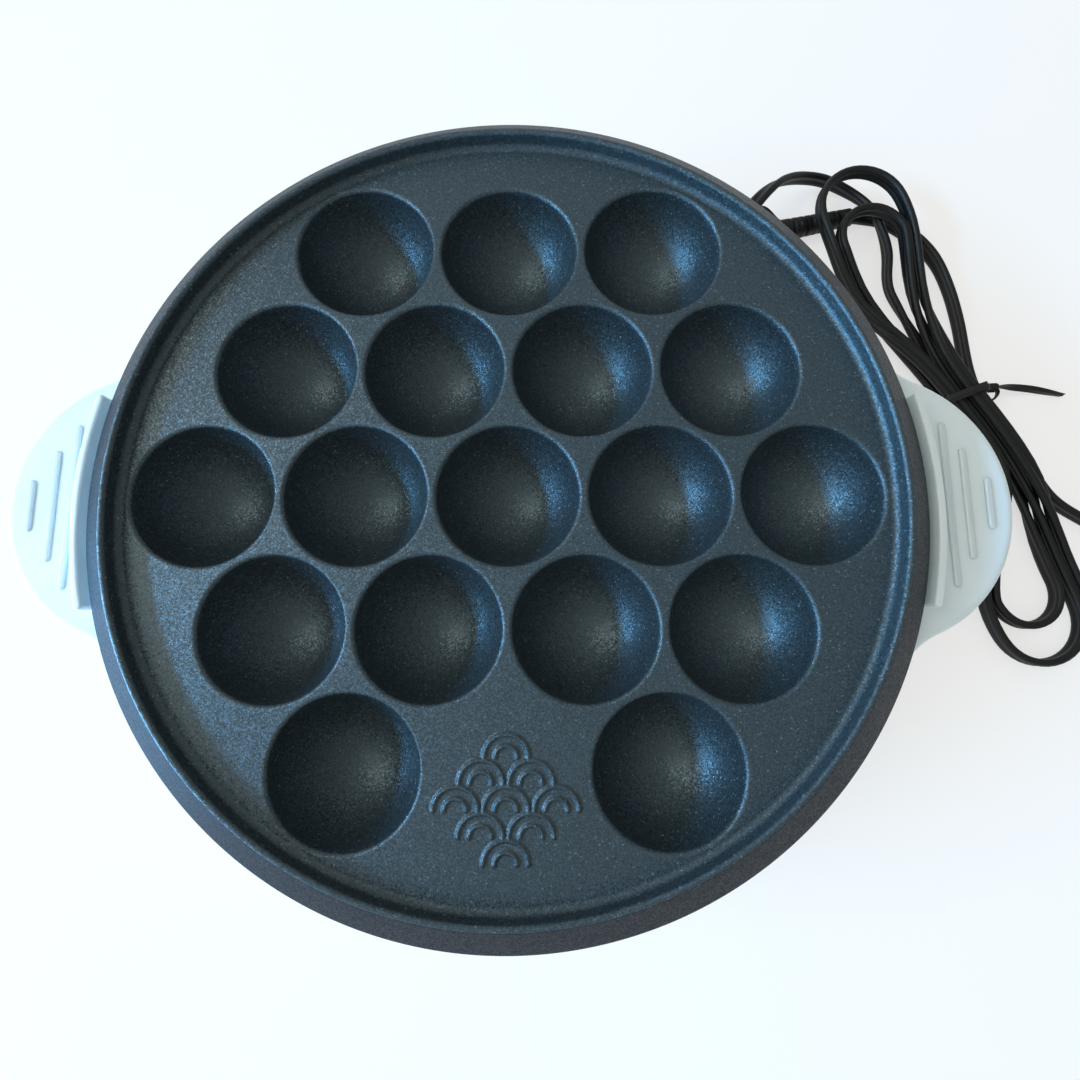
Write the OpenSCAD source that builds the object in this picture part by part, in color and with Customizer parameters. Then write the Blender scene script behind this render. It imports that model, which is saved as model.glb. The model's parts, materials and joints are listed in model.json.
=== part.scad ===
// Round electric takoyaki maker: a cast plate with eighteen half-round wells lifts off a moulded base
// that holds a ring heater over a reflector pan. The flat cord lies folded in a tied hank at the right.
// Millimetres, +Z up, origin on the table under the middle of the plate.

/* [Plate] */
// Outer diameter of the plate over its skirt
plate_d = 231; // [229:0.5:233]
// Height of the plate's flat face above the table
plate_z = 64; // [62:0.5:68]
// Height of the rim's crest above the flat face
rim_h = 5; // [4:0.5:6]
// Spacing of the wells in a row
well_pitch = 41; // [41:0.1:42]
// Inner radius of a well
well_r = 19.1; // [18.5:0.1:19.2]
// Rounding of a well's edge
well_edge = 1.1; // [0.9:0.1:1.2]
// Wall of the casting round a well
cast_wall = 2.5; // [2:0.1:2.8]

/* [Base] */
// Outer radius of the base shell
shell_r = 112; // [111:0.2:112.4]
// Wall of the moulded shell
shell_wall = 2.5; // [2:0.1:2.8]
// Rounding where the shell's side meets its floor
shell_round = 18; // [16:0.5:20]
// Height of the rubber feet
foot_h = 4.6; // [4:0.2:6]

/* [Handles] */
// Distance from the middle to the outer end of a handle
handle_reach = 147.5; // [144:0.5:151]
// Radius of a handle's round outline
handle_r = 41; // [39:0.5:42]
// Height of a handle's top face
handle_z = 50.8; // [48:0.2:52]
// Height of the heat guard above a handle's top face
guard_h = 9.4; // [6:0.2:10]

/* [Heater] */
// Diameter of the heater's sheath
sheath_d = 6.6; // [6:0.1:7]
// Radius of the heater's outer ring
ring_outer = 80; // [78:0.5:81]
// Radius of the heater's inner ring
ring_inner = 46; // [44:0.5:48]

/* [Cord] */
// Width of the flat twin cord
cord_w = 5.6; // [5:0.1:6]
// Thickness of the flat twin cord
cord_t = 2.8; // [2.5:0.1:3]
// Direction in which the cord leaves the base
cord_angle = 54; // [50:1:58]
// Height of the cord where it leaves the base
cord_z = 16; // [15:0.5:17]

/* [Hidden] */
$fn = 64;
eps = 0.05;
plate_r = plate_d / 2;
plate_thick = 3.5;
well_row = well_pitch * sqrt(3) / 2;
bowl_r = well_r + cast_wall;
rim_wall = 104.2;
rim_slope = 42;
skirt_round = 2.5;
skirt_z = plate_z - 9;
seat_z = plate_z - 8.5;
seat_r = 105.4;
seat_w = 2.6;
emblem_y = -78;
fan_r = 5.6;
fan_pitch = 6.3;

cover_z = foot_h;
cover_t = 1.4;
shell_z = cover_z + cover_t;
shell_top = 57;
floor_hole = 66;
shell_in = shell_r - shell_wall;
corner_r = shell_r - shell_round;
corner_z = shell_z + shell_round;
post_ring = 76;
post_r = 5;
boss_ring = 80;
boss_r = 4.6;
foot_r = 9;

pan_t = 0.8;
pan_z = 24;
pan_floor_r = 93;
pan_top_r = 104.8;
pan_flange_r = 109;
wire_hole = [14, -58];
fuse_x = 22;
fuse_z = pan_z - 3.6;

heater_z = 34;
hairpin_a = 156;
joint_gap = 0.1;
tail_a = 12;
tail_bend = 12;
tail_y = ring_outer * sin(tail_a) + tail_bend * (sin(tail_a) - 1);
tail_x = (ring_outer + tail_bend) * cos(tail_a);
tail_end = 100;
pin_end = 106;

outlet_r = 8;
outlet_face = shell_r + 0.5;
boot_end = 139.5;
boot_in = 94;
block_x = 56;
clamp_x = 83;
clamp_y = 8;
clamp_l = 7;
clamp_t = 3;

root_in = shell_r + eps;
handle_x = handle_reach - handle_r;
handle_wall = 2.4;
handle_deep = 11;
guard_in = 118;
guard_w = 2.2;
guard_a = 14.7;
rib_w = 2;
rib_h = 1;
ribs = [[127.8, 48.8], [133.1, 32.8], [139.5, 15.2]];
edge_round = 3;
flare_a = 67;
flare_r = 25;
flare_hub = [handle_x, 0] + (handle_r + flare_r) * [cos(flare_a), sin(flare_a)];
flare_turn = atan2(flare_hub[1], flare_hub[0]);
root_round = 12;
root_mid = norm(flare_hub) - flare_r - root_round + 0.3;
grip_screw_a = 12;
grip_screw_z = handle_z - 7.4;

// ---- wells: rows of 3, 4, 5, 4 and 2 on a triangular grid, the front row without its middle one
well_rows = [[2, 3], [1, 4], [0, 5], [-1, 4], [-2, 3]];
wells = [for (row = well_rows, i = [0:row[1] - 1])
    let (x = (i - (row[1] - 1) / 2) * well_pitch)
    if (!(row[0] == -2 && x == 0)) [x, row[0] * well_row]];

module disc(r, z0, z1) {
    translate([0, 0, z0]) cylinder(r = r, h = z1 - z0, $fn = r > 90 ? 180 : 64);
}

// ---- plate
module rim_profile() {
    crest = rim_wall + 1;
    c = cos(rim_slope);
    s = sin(rim_slope);
    shoulder_r = plate_r - skirt_round;
    start = [crest + s, rim_h - 1 + c];
    run = (shoulder_r + skirt_round * s - start[0]) / c;
    end = start + run * [c, -s];
    inward = -skirt_round * [s, c];
    inner_wall = rim_wall + 2.7;
    inner_start = start + inward;
    lip = skirt_round / 2;
    square_from([0, -plate_thick], [rim_wall, 0]);
    difference() {
        square_from([rim_wall - 1.8, -1], [rim_wall, 1.8]);
        translate([rim_wall - 1.8, 1.8]) circle(1.8);
    }
    polygon([[rim_wall - 0.01, -plate_thick], [rim_wall - 0.01, 1.8], [rim_wall, 1.8],
        [rim_wall, rim_h - 1], [crest, rim_h - 1],
        [inner_wall, inner_start[1] - (inner_wall - inner_start[0]) * s / c], [inner_wall, -plate_thick]]);
    translate([crest, rim_h - 1]) circle(1);
    polygon([start, end, end + inward, inner_start]);
    intersection() {
        translate(end + inward) circle(skirt_round);
        square_from(end + inward, [plate_r, rim_h]);
    }
    square_from([shoulder_r, skirt_z - plate_z + lip], [plate_r, (end + inward)[1]]);
    translate([plate_r - lip, skirt_z - plate_z + lip]) circle(lip);
    square_from([seat_r, seat_z - plate_z], [seat_r + seat_w, -plate_thick + 0.5]);
}

module square_from(low, high) {
    translate(low) square(high - low);
}

module well_bowl() {
    intersection() {
        sphere(bowl_r);
        translate([-bowl_r, -bowl_r, -bowl_r]) cube([2 * bowl_r, 2 * bowl_r, bowl_r]);
    }
}

module well_hollow() {
    rotate_extrude() {
        intersection() {
            circle(well_r);
            square_from([0, -well_r], [well_r, 0]);
        }
        difference() {
            square_from([0, -0.01], [well_r + well_edge, well_edge + 1]);
            translate([well_r + well_edge, 0]) circle(well_edge);
        }
    }
}

// a diamond of small wave fans, each of two raised half rings
module wave_relief() {
    for (row = [-2:2], i = [0:2 - abs(row)], r = [fan_r, fan_r - 2.8])
        translate([(i - (2 - abs(row)) / 2) * 2 * fan_pitch, emblem_y + row * fan_pitch - 2, plate_z])
            rotate_extrude(angle = 180) translate([r, 0]) circle(0.6, $fn = 24);
}

module plate() {
    color("#262b2f") difference() {
        union() {
            translate([0, 0, plate_z]) rotate_extrude($fn = 180) rim_profile();
            for (w = wells) translate([w[0], w[1], plate_z - well_edge]) well_bowl();
            wave_relief();
        }
        for (w = wells) translate([w[0], w[1], plate_z - well_edge]) well_hollow();
    }
}

// ---- base shell
module shell_section(inset) {
    square_from([0, shell_z + inset], [corner_r, shell_top + 1]);
    square_from([0, corner_z], [shell_r - inset, shell_top + 1]);
    translate([corner_r, corner_z]) circle(shell_round - inset);
}

module around(a) {
    rotate([0, 0, a]) children();
}

module at_outlet() {
    around(cord_angle) children();
}

module base_shell() {
    color("#e9f0f0") difference() {
        union() {
            rotate_extrude($fn = 180) difference() {
                shell_section(0);
                shell_section(shell_wall);
                square_from([0, 0], [floor_hole, shell_top]);
                square_from([0, shell_top], [shell_r + 1, shell_top + 2]);
                translate([-shell_r - 30, 0]) square([shell_r + 30, 80]);
            }
            for (a = [0:90:270]) around(a) translate([post_ring, 0, 0])
                disc(post_r, shell_z + 1, pan_z);
            for (a = [45:90:315]) around(a) translate([boss_ring, 0, 0])
                disc(boss_r, shell_z + 1, shell_z + 11);
            at_outlet() {
                translate([100, 0, cord_z]) rotate([0, 90, 0])
                    cylinder(r = outlet_r, h = outlet_face - 100);
                for (y = [-clamp_y, clamp_y]) translate([clamp_x, y, 0])
                    disc(3.2, shell_z + 1, cord_z - cord_t / 2);
                translate([clamp_x - clamp_l / 2, -clamp_y, shell_z + 1])
                    cube([clamp_l, 2 * clamp_y, cord_z - cord_t / 2 - shell_z - 1]);
            }
        }
        for (a = [0:90:270]) around(a) translate([post_ring, 0, 0]) disc(1.55, pan_z - 12, pan_z + 1);
        for (a = [45:90:315]) around(a) translate([boss_ring, 0, 0]) disc(1.45, 0, shell_z + 10);
        at_outlet() {
            translate([90, 0, cord_z]) rotate([0, 90, 0]) cylinder(r = 4.4, h = 40);
            for (y = [-clamp_y, clamp_y]) translate([clamp_x, y, 0]) disc(1.25, cord_z - 7, cord_z + 5);
        }
        handle_screw_places() translate([0, 0, -5]) cylinder(r = 1.9, h = 10);
    }
}

// ---- handles
module handle_screw_places() {
    for (side = [0, 180], a = [-grip_screw_a, grip_screw_a]) around(side + a)
        translate([shell_in, 0, grip_screw_z]) rotate([0, 90, 0]) children();
}

module lobe(inset) {
    low = handle_z - handle_deep - 1;
    rotate_extrude() {
        square_from([0, low], [handle_r - inset, handle_z - edge_round]);
        square_from([0, low], [handle_r - edge_round, handle_z - inset]);
        translate([handle_r - edge_round, handle_z - edge_round]) circle(edge_round - inset);
    }
}

// the outline leaves the lobe in a hollow curve, and comes back to the shell in a round one
module root_flare() {
    leave = [handle_x, 0] + handle_r * [cos(flare_a), sin(flare_a)];
    for (side = [0, 1]) mirror([0, side, 0]) translate([0, 0, handle_z - handle_deep])
        linear_extrude(handle_deep - 0.8) difference() {
            union() {
                difference() {
                    polygon([[root_in - 6, 20], [handle_x + 8, 20], leave, flare_hub, [root_in - 12, 46]]);
                    translate(flare_hub) circle(flare_r);
                }
                around(flare_turn) translate([root_mid, 0]) circle(root_round);
            }
            translate([handle_x, 0]) circle(handle_r - 4);
        }
}

module handle() {
    difference() {
        union() {
            difference() {
                translate([handle_x, 0, 0]) lobe(0);
                translate([handle_x, 0, -handle_wall]) lobe(handle_wall);
            }
            root_flare();
            intersection() {
                translate([handle_x, 0, 0]) disc(handle_r - 1, 0, handle_z - 1);
                difference() {
                    disc(root_in + handle_wall, handle_z - handle_deep, handle_z - 1);
                    disc(root_in, 0, 80);
                }
            }
            for (a = [-grip_screw_a, grip_screw_a]) around(a) translate([root_in, 0, grip_screw_z])
                rotate([0, 90, 0]) cylinder(r = 3.6, h = 12);
        }
        disc(root_in, 0, 80);
        translate([0, 0, -1]) disc(200, 0, handle_z - handle_deep + 1);
        for (a = [-grip_screw_a, grip_screw_a]) around(a) translate([root_in - 1, 0, grip_screw_z])
            rotate([0, 90, 0]) cylinder(r = 1.55, h = 10);
    }
    around(-guard_a) rotate_extrude(angle = 2 * guard_a, $fn = 180)
        square_from([guard_in, handle_z - 0.5], [guard_in + guard_w, handle_z + guard_h]);
    for (rib = ribs)
        translate([rib[0] - rib_w / 2, -rib[1] / 2, handle_z - 0.5]) cube([rib_w, rib[1], rib_h + 0.5]);
}

module handle_right() {
    color("#e3eeee") handle();
}

module handle_left() {
    color("#e3eeee") around(180) handle();
}

module handle_screws() {
    color("#b9bcbe") handle_screw_places() {
        translate([0, 0, -1.6]) cylinder(r = 3, h = 1.55);
        translate([0, 0, -0.1]) cylinder(r = 1.5, h = 10);
    }
}

// ---- reflector pan and heater
module reflector_pan() {
    wall = [[pan_floor_r, pan_z], [pan_top_r + pan_t, seat_z - pan_t]];
    color("#c9ccce") difference() {
        rotate_extrude($fn = 180) polygon([[0, pan_z], wall[0], wall[1], [pan_flange_r, seat_z - pan_t],
            [pan_flange_r, seat_z], [pan_top_r, seat_z], [pan_floor_r - pan_t, pan_z + pan_t],
            [0, pan_z + pan_t]]);
        for (a = [0:90:270]) around(a) translate([post_ring, 0, 0]) disc(1.7, pan_z - 1, pan_z + 2);
        at_outlet() for (y = [-tail_y, tail_y])
            translate([85, y, heater_z]) rotate([0, 90, 0]) cylinder(r = sheath_d / 2 + 0.3, h = 25);
        translate([each wire_hole, 0]) disc(4, pan_z - 1, pan_z + 2);
    }
}

module pan_screws() {
    color("#b9bcbe") for (a = [0:90:270]) around(a) translate([post_ring, 0, 0]) {
        disc(3.4, pan_z + pan_t, pan_z + pan_t + 2);
        disc(1.5, pan_z - 10, pan_z + pan_t + 1);
    }
}

// an arc of the sheath, trimmed a little at both ends; a ball hardly thicker than it fills each joint
module arc_tube(r, from, to) {
    trim = joint_gap / r * 180 / PI;
    around(from + trim) rotate_extrude(angle = to - from - 2 * trim, $fn = r > 30 ? 72 : 32)
        translate([r, 0]) circle(sheath_d / 2, $fn = 24);
}

module joint_ball() {
    sphere(sheath_d / 2 + joint_gap / 2, $fn = 24);
}

// one side of the heater, from its cold end round the outer ring and the hairpin to the inner ring
module heater_side() {
    translate([tail_x, tail_y, 0]) {
        joint_ball();
        translate([joint_gap, 0, 0]) rotate([0, 90, 0])
            cylinder(r = sheath_d / 2, h = tail_end - tail_x - joint_gap);
    }
    around(tail_a) translate([ring_outer, 0, 0]) {
        joint_ball();
        translate([tail_bend, 0, 0]) arc_tube(tail_bend, 180, 270 - tail_a);
    }
    arc_tube(ring_outer, tail_a, hairpin_a);
    around(hairpin_a) {
        for (r = [ring_inner, ring_outer]) translate([r, 0, 0]) joint_ball();
        translate([(ring_outer + ring_inner) / 2, 0, 0]) arc_tube((ring_outer - ring_inner) / 2, 0, 180);
    }
}

module heater() {
    color("#6d6f70") translate([0, 0, heater_z]) at_outlet() {
        heater_side();
        mirror([0, 1, 0]) heater_side();
        arc_tube(ring_inner, -hairpin_a, hairpin_a);
    }
}

module heater_pins() {
    color("#d5cfc0") translate([0, 0, heater_z]) at_outlet() for (y = [-tail_y, tail_y])
        translate([tail_end, y, 0]) rotate([0, 90, 0]) {
            cylinder(r = 2.8, h = 2);
            cylinder(r = 1.2, h = pin_end - tail_end);
        }
}

module heater_clips() {
    base = pan_z + pan_t;
    spots = [[ring_outer, 70], [ring_outer, -70], [ring_inner, 20], [ring_inner, -20]];
    color("#a7aaac") at_outlet() for (spot = spots)
        around(spot[1]) translate([spot[0], 0, 0]) difference() {
            union() {
                translate([0, 3, heater_z]) rotate([90, 0, 0]) cylinder(r = sheath_d / 2 + 1.4, h = 6);
                translate([-2, -3, base]) cube([4, 6, heater_z - base - 3]);
                translate([-7, -3, base]) cube([14, 6, 1]);
            }
            translate([0, 5, heater_z]) rotate([90, 0, 0]) cylinder(r = sheath_d / 2 + 0.25, h = 10);
        }
}

// ---- thermostat, fuse and wiring
therm_y = -78;
therm_top = plate_z - plate_thick - 0.4;

module thermostat() {
    color("#2d2a28") translate([0, therm_y, 0]) {
        disc(5, therm_top - 2.4, therm_top);
        disc(8, therm_top - 11, therm_top - 2.4);
        for (x = [-5, 5]) translate([x, 7, therm_top - 9]) cube([0.8, 7, 4]);
    }
}

module thermostat_bracket() {
    shelf = therm_top - 12.2;
    color("#a7aaac") {
        translate([-6, therm_y - 6, shelf]) cube([12, 18, 1.2]);
        translate([-6, therm_y + 12, pan_z + pan_t]) cube([12, 1.2, shelf + 1.2 - pan_z - pan_t]);
        translate([-6, therm_y + 13.2, pan_z + pan_t]) cube([12, 8, 1.2]);
    }
}

module thermal_fuse() {
    color("#d8d2c4") translate([fuse_x, 0, fuse_z]) rotate([90, 0, 0])
        cylinder(r = 2.4, h = 16, center = true);
}

module fuse_clip() {
    color("#a7aaac") difference() {
        union() {
            translate([fuse_x, 3, fuse_z]) rotate([90, 0, 0]) cylinder(r = 3.4, h = 6);
            translate([fuse_x - 8, -3, pan_z - 1]) cube([16, 6, 1]);
        }
        translate([fuse_x, 5, fuse_z]) rotate([90, 0, 0]) cylinder(r = 2.45, h = 10);
    }
}

module grommet() {
    color("#303234") translate([each wire_hole, 0]) difference() {
        union() {
            disc(5.4, pan_z - 1.5, pan_z);
            disc(3.95, pan_z, pan_z + pan_t);
            disc(5.4, pan_z + pan_t, pan_z + pan_t + 1.5);
        }
        for (x = [-1.8, 1.8]) translate([x, 0, 0]) disc(1.4, 0, 60);
    }
}

module terminal_block() {
    color("#e8e2d2") at_outlet() difference() {
        translate([block_x - 6, -11, shell_z]) cube([12, 22, cord_z - shell_z + 3]);
        for (y = [-6, 6], x = [-3, 3]) translate([block_x + x, y, cord_z - 1]) cylinder(r = 1.8, h = 6);
    }
}

function unit(v) = v / norm(v);
function slice3(p) = [p[0], p[1], p[2]];
function heading(route, i) = let (n = len(route) - 1)
    unit(slice3(route[min(i + 1, n)]) - slice3(route[max(i - 1, 0)]));

// a section is a list of corners in half widths and half thicknesses; a route holds x, y, z and roll,
// where a roll of 0 lies flat and 90 stands on edge
oval6 = [[1, 0], [0.5, 1], [-0.5, 1], [-1, 0], [-0.5, -1], [0.5, -1]];
oval8 = [[1, 0.4], [0.6, 1], [-0.6, 1], [-1, 0.4], [-1, -0.4], [-0.6, -1], [0.6, -1], [1, -0.4]];

function ring(route, i, section, w, t) =
    let (ahead = heading(route, i), roll = len(route[i]) > 3 ? route[i][3] : 0,
        left = unit(cross([0, 0, 1], ahead)), up = cross(ahead, left),
        thin = cos(roll) * up + sin(roll) * left, wide = cross(ahead, thin))
    [for (c = section) slice3(route[i]) + wide * c[0] * w / 2 + thin * c[1] * t / 2];

function tube_points(route, section, w, t) =
    [for (i = [0:len(route) - 1]) each ring(route, i, section, w, t)];

function tube_faces(rings, k) = [
    for (i = [0:rings - 2], j = [0:k - 1]) let (a = i * k + j, b = i * k + (j + 1) % k)
        each [[a, b, b + k], [a, b + k, a + k]],
    for (j = [1:k - 2]) [0, j + 1, j],
    for (j = [1:k - 2]) let (o = (rings - 1) * k) [o, o + j, o + j + 1]];

module tube(route, section, w, t) {
    polyhedron(tube_points(route, section, w, t), tube_faces(len(route), len(section)));
}

function outlet(p) = [p[0] * cos(cord_angle) - p[1] * sin(cord_angle),
    p[0] * sin(cord_angle) + p[1] * cos(cord_angle), p[2], 0];
wire_d = 2.6;
wire_fuse_route = [outlet([49.9, 6, 14]), outlet([46, 6, 14]), [fuse_x, 32, 15.5], [fuse_x, 21, fuse_z - 1],
    [fuse_x, 14, fuse_z], [fuse_x, 8.1, fuse_z]];
wire_thermostat_route = [[fuse_x, -8.1, fuse_z], [fuse_x, -14, fuse_z], [18, -30, 16], [14, -46, 14],
    [12.2, -56, 17], [12.2, -58, 22], [12.2, -58.2, 30], [11, -60, 38], [8, -62, 46],
    [5.4, -62.3, 51], [5.4, -62.6, 53]];
wire_heater_live_route = [[-4.6, -62.6, 53], [-4.6, -62, 51], [-2, -57, 47.5], [10, -54.5, 40],
    [15.6, -57.6, 30], [15.8, -58, 22], [17, -54, 16], [30, -30, 14], [48, 0, 14], [60, 26, 15],
    outlet([72, -24, 19.5]), outlet([88, -17, 21]), outlet([99, -11, 22]), outlet([105, -8, 27]),
    outlet([pin_end + 1, -tail_y, 31]), outlet([pin_end + 1.5, -tail_y, 34])];
wire_heater_neutral_route = [outlet([62.1, 6, 12]), outlet([66, 6, 12]), outlet([72, 14, 15]),
    outlet([80, 16, 19.5]), outlet([90, 15, 21]), outlet([99, 11, 22]), outlet([105, 8, 27]),
    outlet([pin_end + 1, tail_y, 31]), outlet([pin_end + 1.5, tail_y, 34])];

module wire(route, shade) {
    color(shade) tube(route, oval6, wire_d, wire_d);
}

module wire_fuse() {
    wire(wire_fuse_route, "#e6e6e2");
}

module wire_thermostat() {
    wire(wire_thermostat_route, "#e6e6e2");
}

module wire_heater_live() {
    wire(wire_heater_live_route, "#e6e6e2");
}

module wire_heater_neutral() {
    wire(wire_heater_neutral_route, "#3c4044");
}

// ---- underside
module bottom_cover() {
    color("#b4b8ba") difference() {
        disc(93, cover_z, cover_z + cover_t);
        for (a = [45:90:315]) around(a) translate([boss_ring, 0, 0]) disc(1.8, 0, 10);
        for (x = [-36:8:36]) if (abs(x) > 3)
            translate([x - 1.5, -sqrt(44 * 44 - x * x), 0]) cube([3, 2 * sqrt(44 * 44 - x * x), 10]);
    }
}

module foot(a) {
    color("#2a2c2d") around(a) translate([boss_ring, 0, 0]) difference() {
        union() {
            disc(foot_r - 1, 0, 1);
            disc(foot_r, 1, foot_h);
        }
        disc(4.2, -1, 2.6);
        disc(1.7, 0, 10);
    }
}

module foot_screws() {
    color("#b9bcbe") for (a = [45:90:315]) around(a) translate([boss_ring, 0, 0]) {
        disc(3.4, 0.6, 2.6);
        disc(1.4, 2.5, shell_z + 8);
    }
}

// ---- cord outlet
module cord_boot() {
    color("#1b1c1d") at_outlet() translate([0, 0, cord_z]) rotate([0, 90, 0]) {
        disc(6.2, boot_in, 100 - eps);
        disc(4.35, 100 - eps, outlet_face);
        disc(7, outlet_face, outlet_face + 2.5);
        translate([0, 0, outlet_face + 2.5])
            cylinder(r1 = 5.4, r2 = 3.6, h = boot_end - outlet_face - 2.5);
    }
}

module cord_inner() {
    color("#1b1c1d") at_outlet() translate([block_x + 6, 0, cord_z]) rotate([90, 0, 90])
        linear_extrude(boot_in - block_x - 6) {
            for (x = [-1, 1]) translate([x * cord_t / 2, 0]) circle(cord_t / 2, $fn = 24);
            square([cord_t, cord_t * 0.7], center = true);
        }
}

module cord_clamp() {
    color("#e8e2d2") at_outlet() difference() {
        translate([clamp_x - clamp_l / 2, -clamp_y - 3.5, cord_z + cord_t / 2])
            cube([clamp_l, 2 * clamp_y + 7, clamp_t]);
        for (y = [-clamp_y, clamp_y]) translate([clamp_x, y, 0]) disc(1.4, 0, 30);
    }
}

module clamp_screws() {
    top = cord_z + cord_t / 2 + clamp_t;
    color("#b9bcbe") at_outlet() for (y = [-clamp_y, clamp_y]) translate([clamp_x, y, 0]) {
        disc(2.6, top, top + 1.6);
        disc(1.2, cord_z - 5, top + 0.5);
    }
}

plug_tip = [134.8, 128.2];
plug_angle = 14;
plug_tip_z = 3.4;
plug_tilt = 3;
relief_l = 30;
relief_r = [3.3, 4.1];
body_l = 17;
body_w = 21;
body_t = 10.5;
pin_l = 18;
pin_gap = 12.7;

// ---- cord: the hank's turns follow a rule, its axis runs from the back left to the front right
hank_mid = [169.3, 47.8];
hank_axis = -70.3;
hank_step = 4.1;
hank_mean = 1.2;
hank_run = 0.38;
hank_first = 2 / 7 * hank_run;
hank_last = 2 + hank_run;
top_ends = [-72, -72, -84, -84];
bottom_ends = [74, 84, 84];
straight_ends = [-70, 72];
waist_half = 3.4;
waist_lift = 0.3;
rest_lift = 0.1;
top_half = 13.6;
bottom_half = 15;
crossing_lift = 9.4;

function smooth(x) = let (c = min(max(x, 0), 1)) c * c * (3 - 2 * c);
function bell(x) = exp(-x * x);
function mix(a, b, x) = a + (b - a) * x;
function hank_centre(s) = 6 * bell((s - 28) / 24) - 8.5 * bell((s + 50) / 36) - 3.5 * smooth((-s - 60) / 25)
    - 7 * smooth((s - 36) / 36);
function hank_half(s) = s < 0 ? mix(waist_half, top_half, smooth((-s - 14) / 56))
    : mix(waist_half, bottom_half, smooth((s - 30) / 42));
function hank_tilt(s) = 90 * (1 - smooth((hank_half(s) - waist_half) / 7.5));
function hank_floor(s) = rest_lift + crossing_lift * smooth((-s - 35) / 45) + waist_lift * bell(s / 12);
function hank_width(s, u) = hank_half(s) + (u - hank_mean) * hank_step * cos(hank_tilt(s));
function hank_height(s, u) = let (a = hank_tilt(s))
    hank_floor(s) + u * hank_step * sin(a) + cord_w / 2 * cos(a) + cord_t / 2 * sin(a);
function hank_place(s, t, u, at) =
    [hank_mid[0] + s * cos(hank_axis) - (t + hank_centre(at)) * sin(hank_axis),
        hank_mid[1] + s * sin(hank_axis) + (t + hank_centre(at)) * cos(hank_axis),
        hank_height(at, u), 90 - hank_tilt(at)];
function hank_slide(from, to, x) =
    let (a = straight_ends[from < to ? 0 : 1], b = straight_ends[from < to ? 1 : 0])
    x < 1 ? mix(from, a, x) : x < 6 ? mix(a, b, (x - 1) / 5) : mix(b, to, x - 6);
function hank_at(u) =
    let (turn = floor(u), f = u - turn, low = bottom_ends[turn], high = top_ends[turn + 1])
    f < hank_run ?
        let (s = hank_slide(top_ends[turn], low, 7 * f / hank_run)) hank_place(s, hank_width(s, u), u, s)
    : f < 0.5 ?
        let (a = 180 * (f - hank_run) / (0.5 - hank_run), r = hank_width(low, u))
            hank_place(low + r * sin(a), r * cos(a), u, low)
    : f < 0.5 + hank_run ?
        let (s = hank_slide(low, high, 7 * (f - 0.5) / hank_run)) hank_place(s, -hank_width(s, u), u, s)
    :   let (a = 180 * (f - 0.5 - hank_run) / (0.5 - hank_run), r = hank_width(high, u))
            hank_place(high - r * sin(a), -r * cos(a), u, high);

// 24 rings a turn: seven along each run and five round each end
hank_marks = [for (turn = [0:2], half = [0, 0.5], i = [0:11])
    turn + half + (i < 7 ? hank_run * i / 7 : hank_run + (0.5 - hank_run) * (i - 7) / 5)];
hank_rings = [for (u = hank_marks) if (u > hank_first - 0.01 && u < hank_last - 0.01) hank_at(u),
    hank_at(hank_last)];
hank_n = len(hank_rings);
hank_in = unit(slice3(hank_rings[1]) - slice3(hank_rings[0]));
hank_out = unit(slice3(hank_rings[hank_n - 1]) - slice3(hank_rings[hank_n - 2]));

function along(ring, way, d) = [each slice3(ring) + way * d, ring[3]];
hank_start = along(hank_rings[0], hank_in, -cord_w);
hank_end = along(hank_rings[hank_n - 1], hank_out, cord_w);
hank_route = [hank_start, each hank_rings, hank_end];

lead_route = [outlet([boot_end, 0, cord_z]), outlet([boot_end + 5, 0, cord_z]), [89, 121.5, 16.4, 15],
    [95, 128.5, 16, 35], [101, 134.5, 14, 60], [108, 139.5, 10.5, 80], [116, 142.8, 7, 90],
    [124, 143.4, 5, 90], [131, 141, 4.1, 85], [138, 136, 4.4, 70], [142.5, 129.5, 5.9, 60],
    [145, 122.5, 5.9, 60], [146.4, 115.5, 6, 75], [146.8, 108, 6, 85], [146.2, 101, 5.3, 80],
    along(hank_start, hank_in, -4), hank_start];

tail_route = [hank_end, along(hank_end, hank_out, 4), [216, -37, 2.8, 90], [223, -46, 2.8, 90],
    [234, -51.5, 2.8, 90], [246, -50.5, 2.8, 90], [255, -42, 2.8, 90], [257, -30, 2.8, 90],
    [250, -18.5, 2.8, 90], [239, -11, 2.8, 90], [227, -5, 2.8, 90], [215, 2, 2.8, 90], [202, 11, 2.8, 90],
    [194.5, 23.5, 2.8, 90], [187.5, 35.5, 2.8, 90], [181, 45.5, 3.7, 90], [177, 53, 3.8, 90],
    [175.4, 61, 3.4, 90], [175, 70, 2.8, 90], [174.2, 82.5, 2.8, 90], [172, 96.5, 2.8, 90],
    [167.8, 109, 2.9, 80], [160.8, 118.8, 2.6, 45], [152.5, 126, 1.5, 5], [146, 128.6, 1.45, 0],
    [141.5, 129, 1.5, 0], [138, 128.8, 2.6, 0], [each plug_tip, plug_tip_z, 0]];

module flex(route, section) {
    color("#1e2021") tube(route, section, cord_w, cord_t);
}

module cord_lead() {
    flex(lead_route, oval8);
}

module cord_hank() {
    flex(hank_route, oval6);
}

module cord_tail() {
    flex(tail_route, oval8);
}

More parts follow.
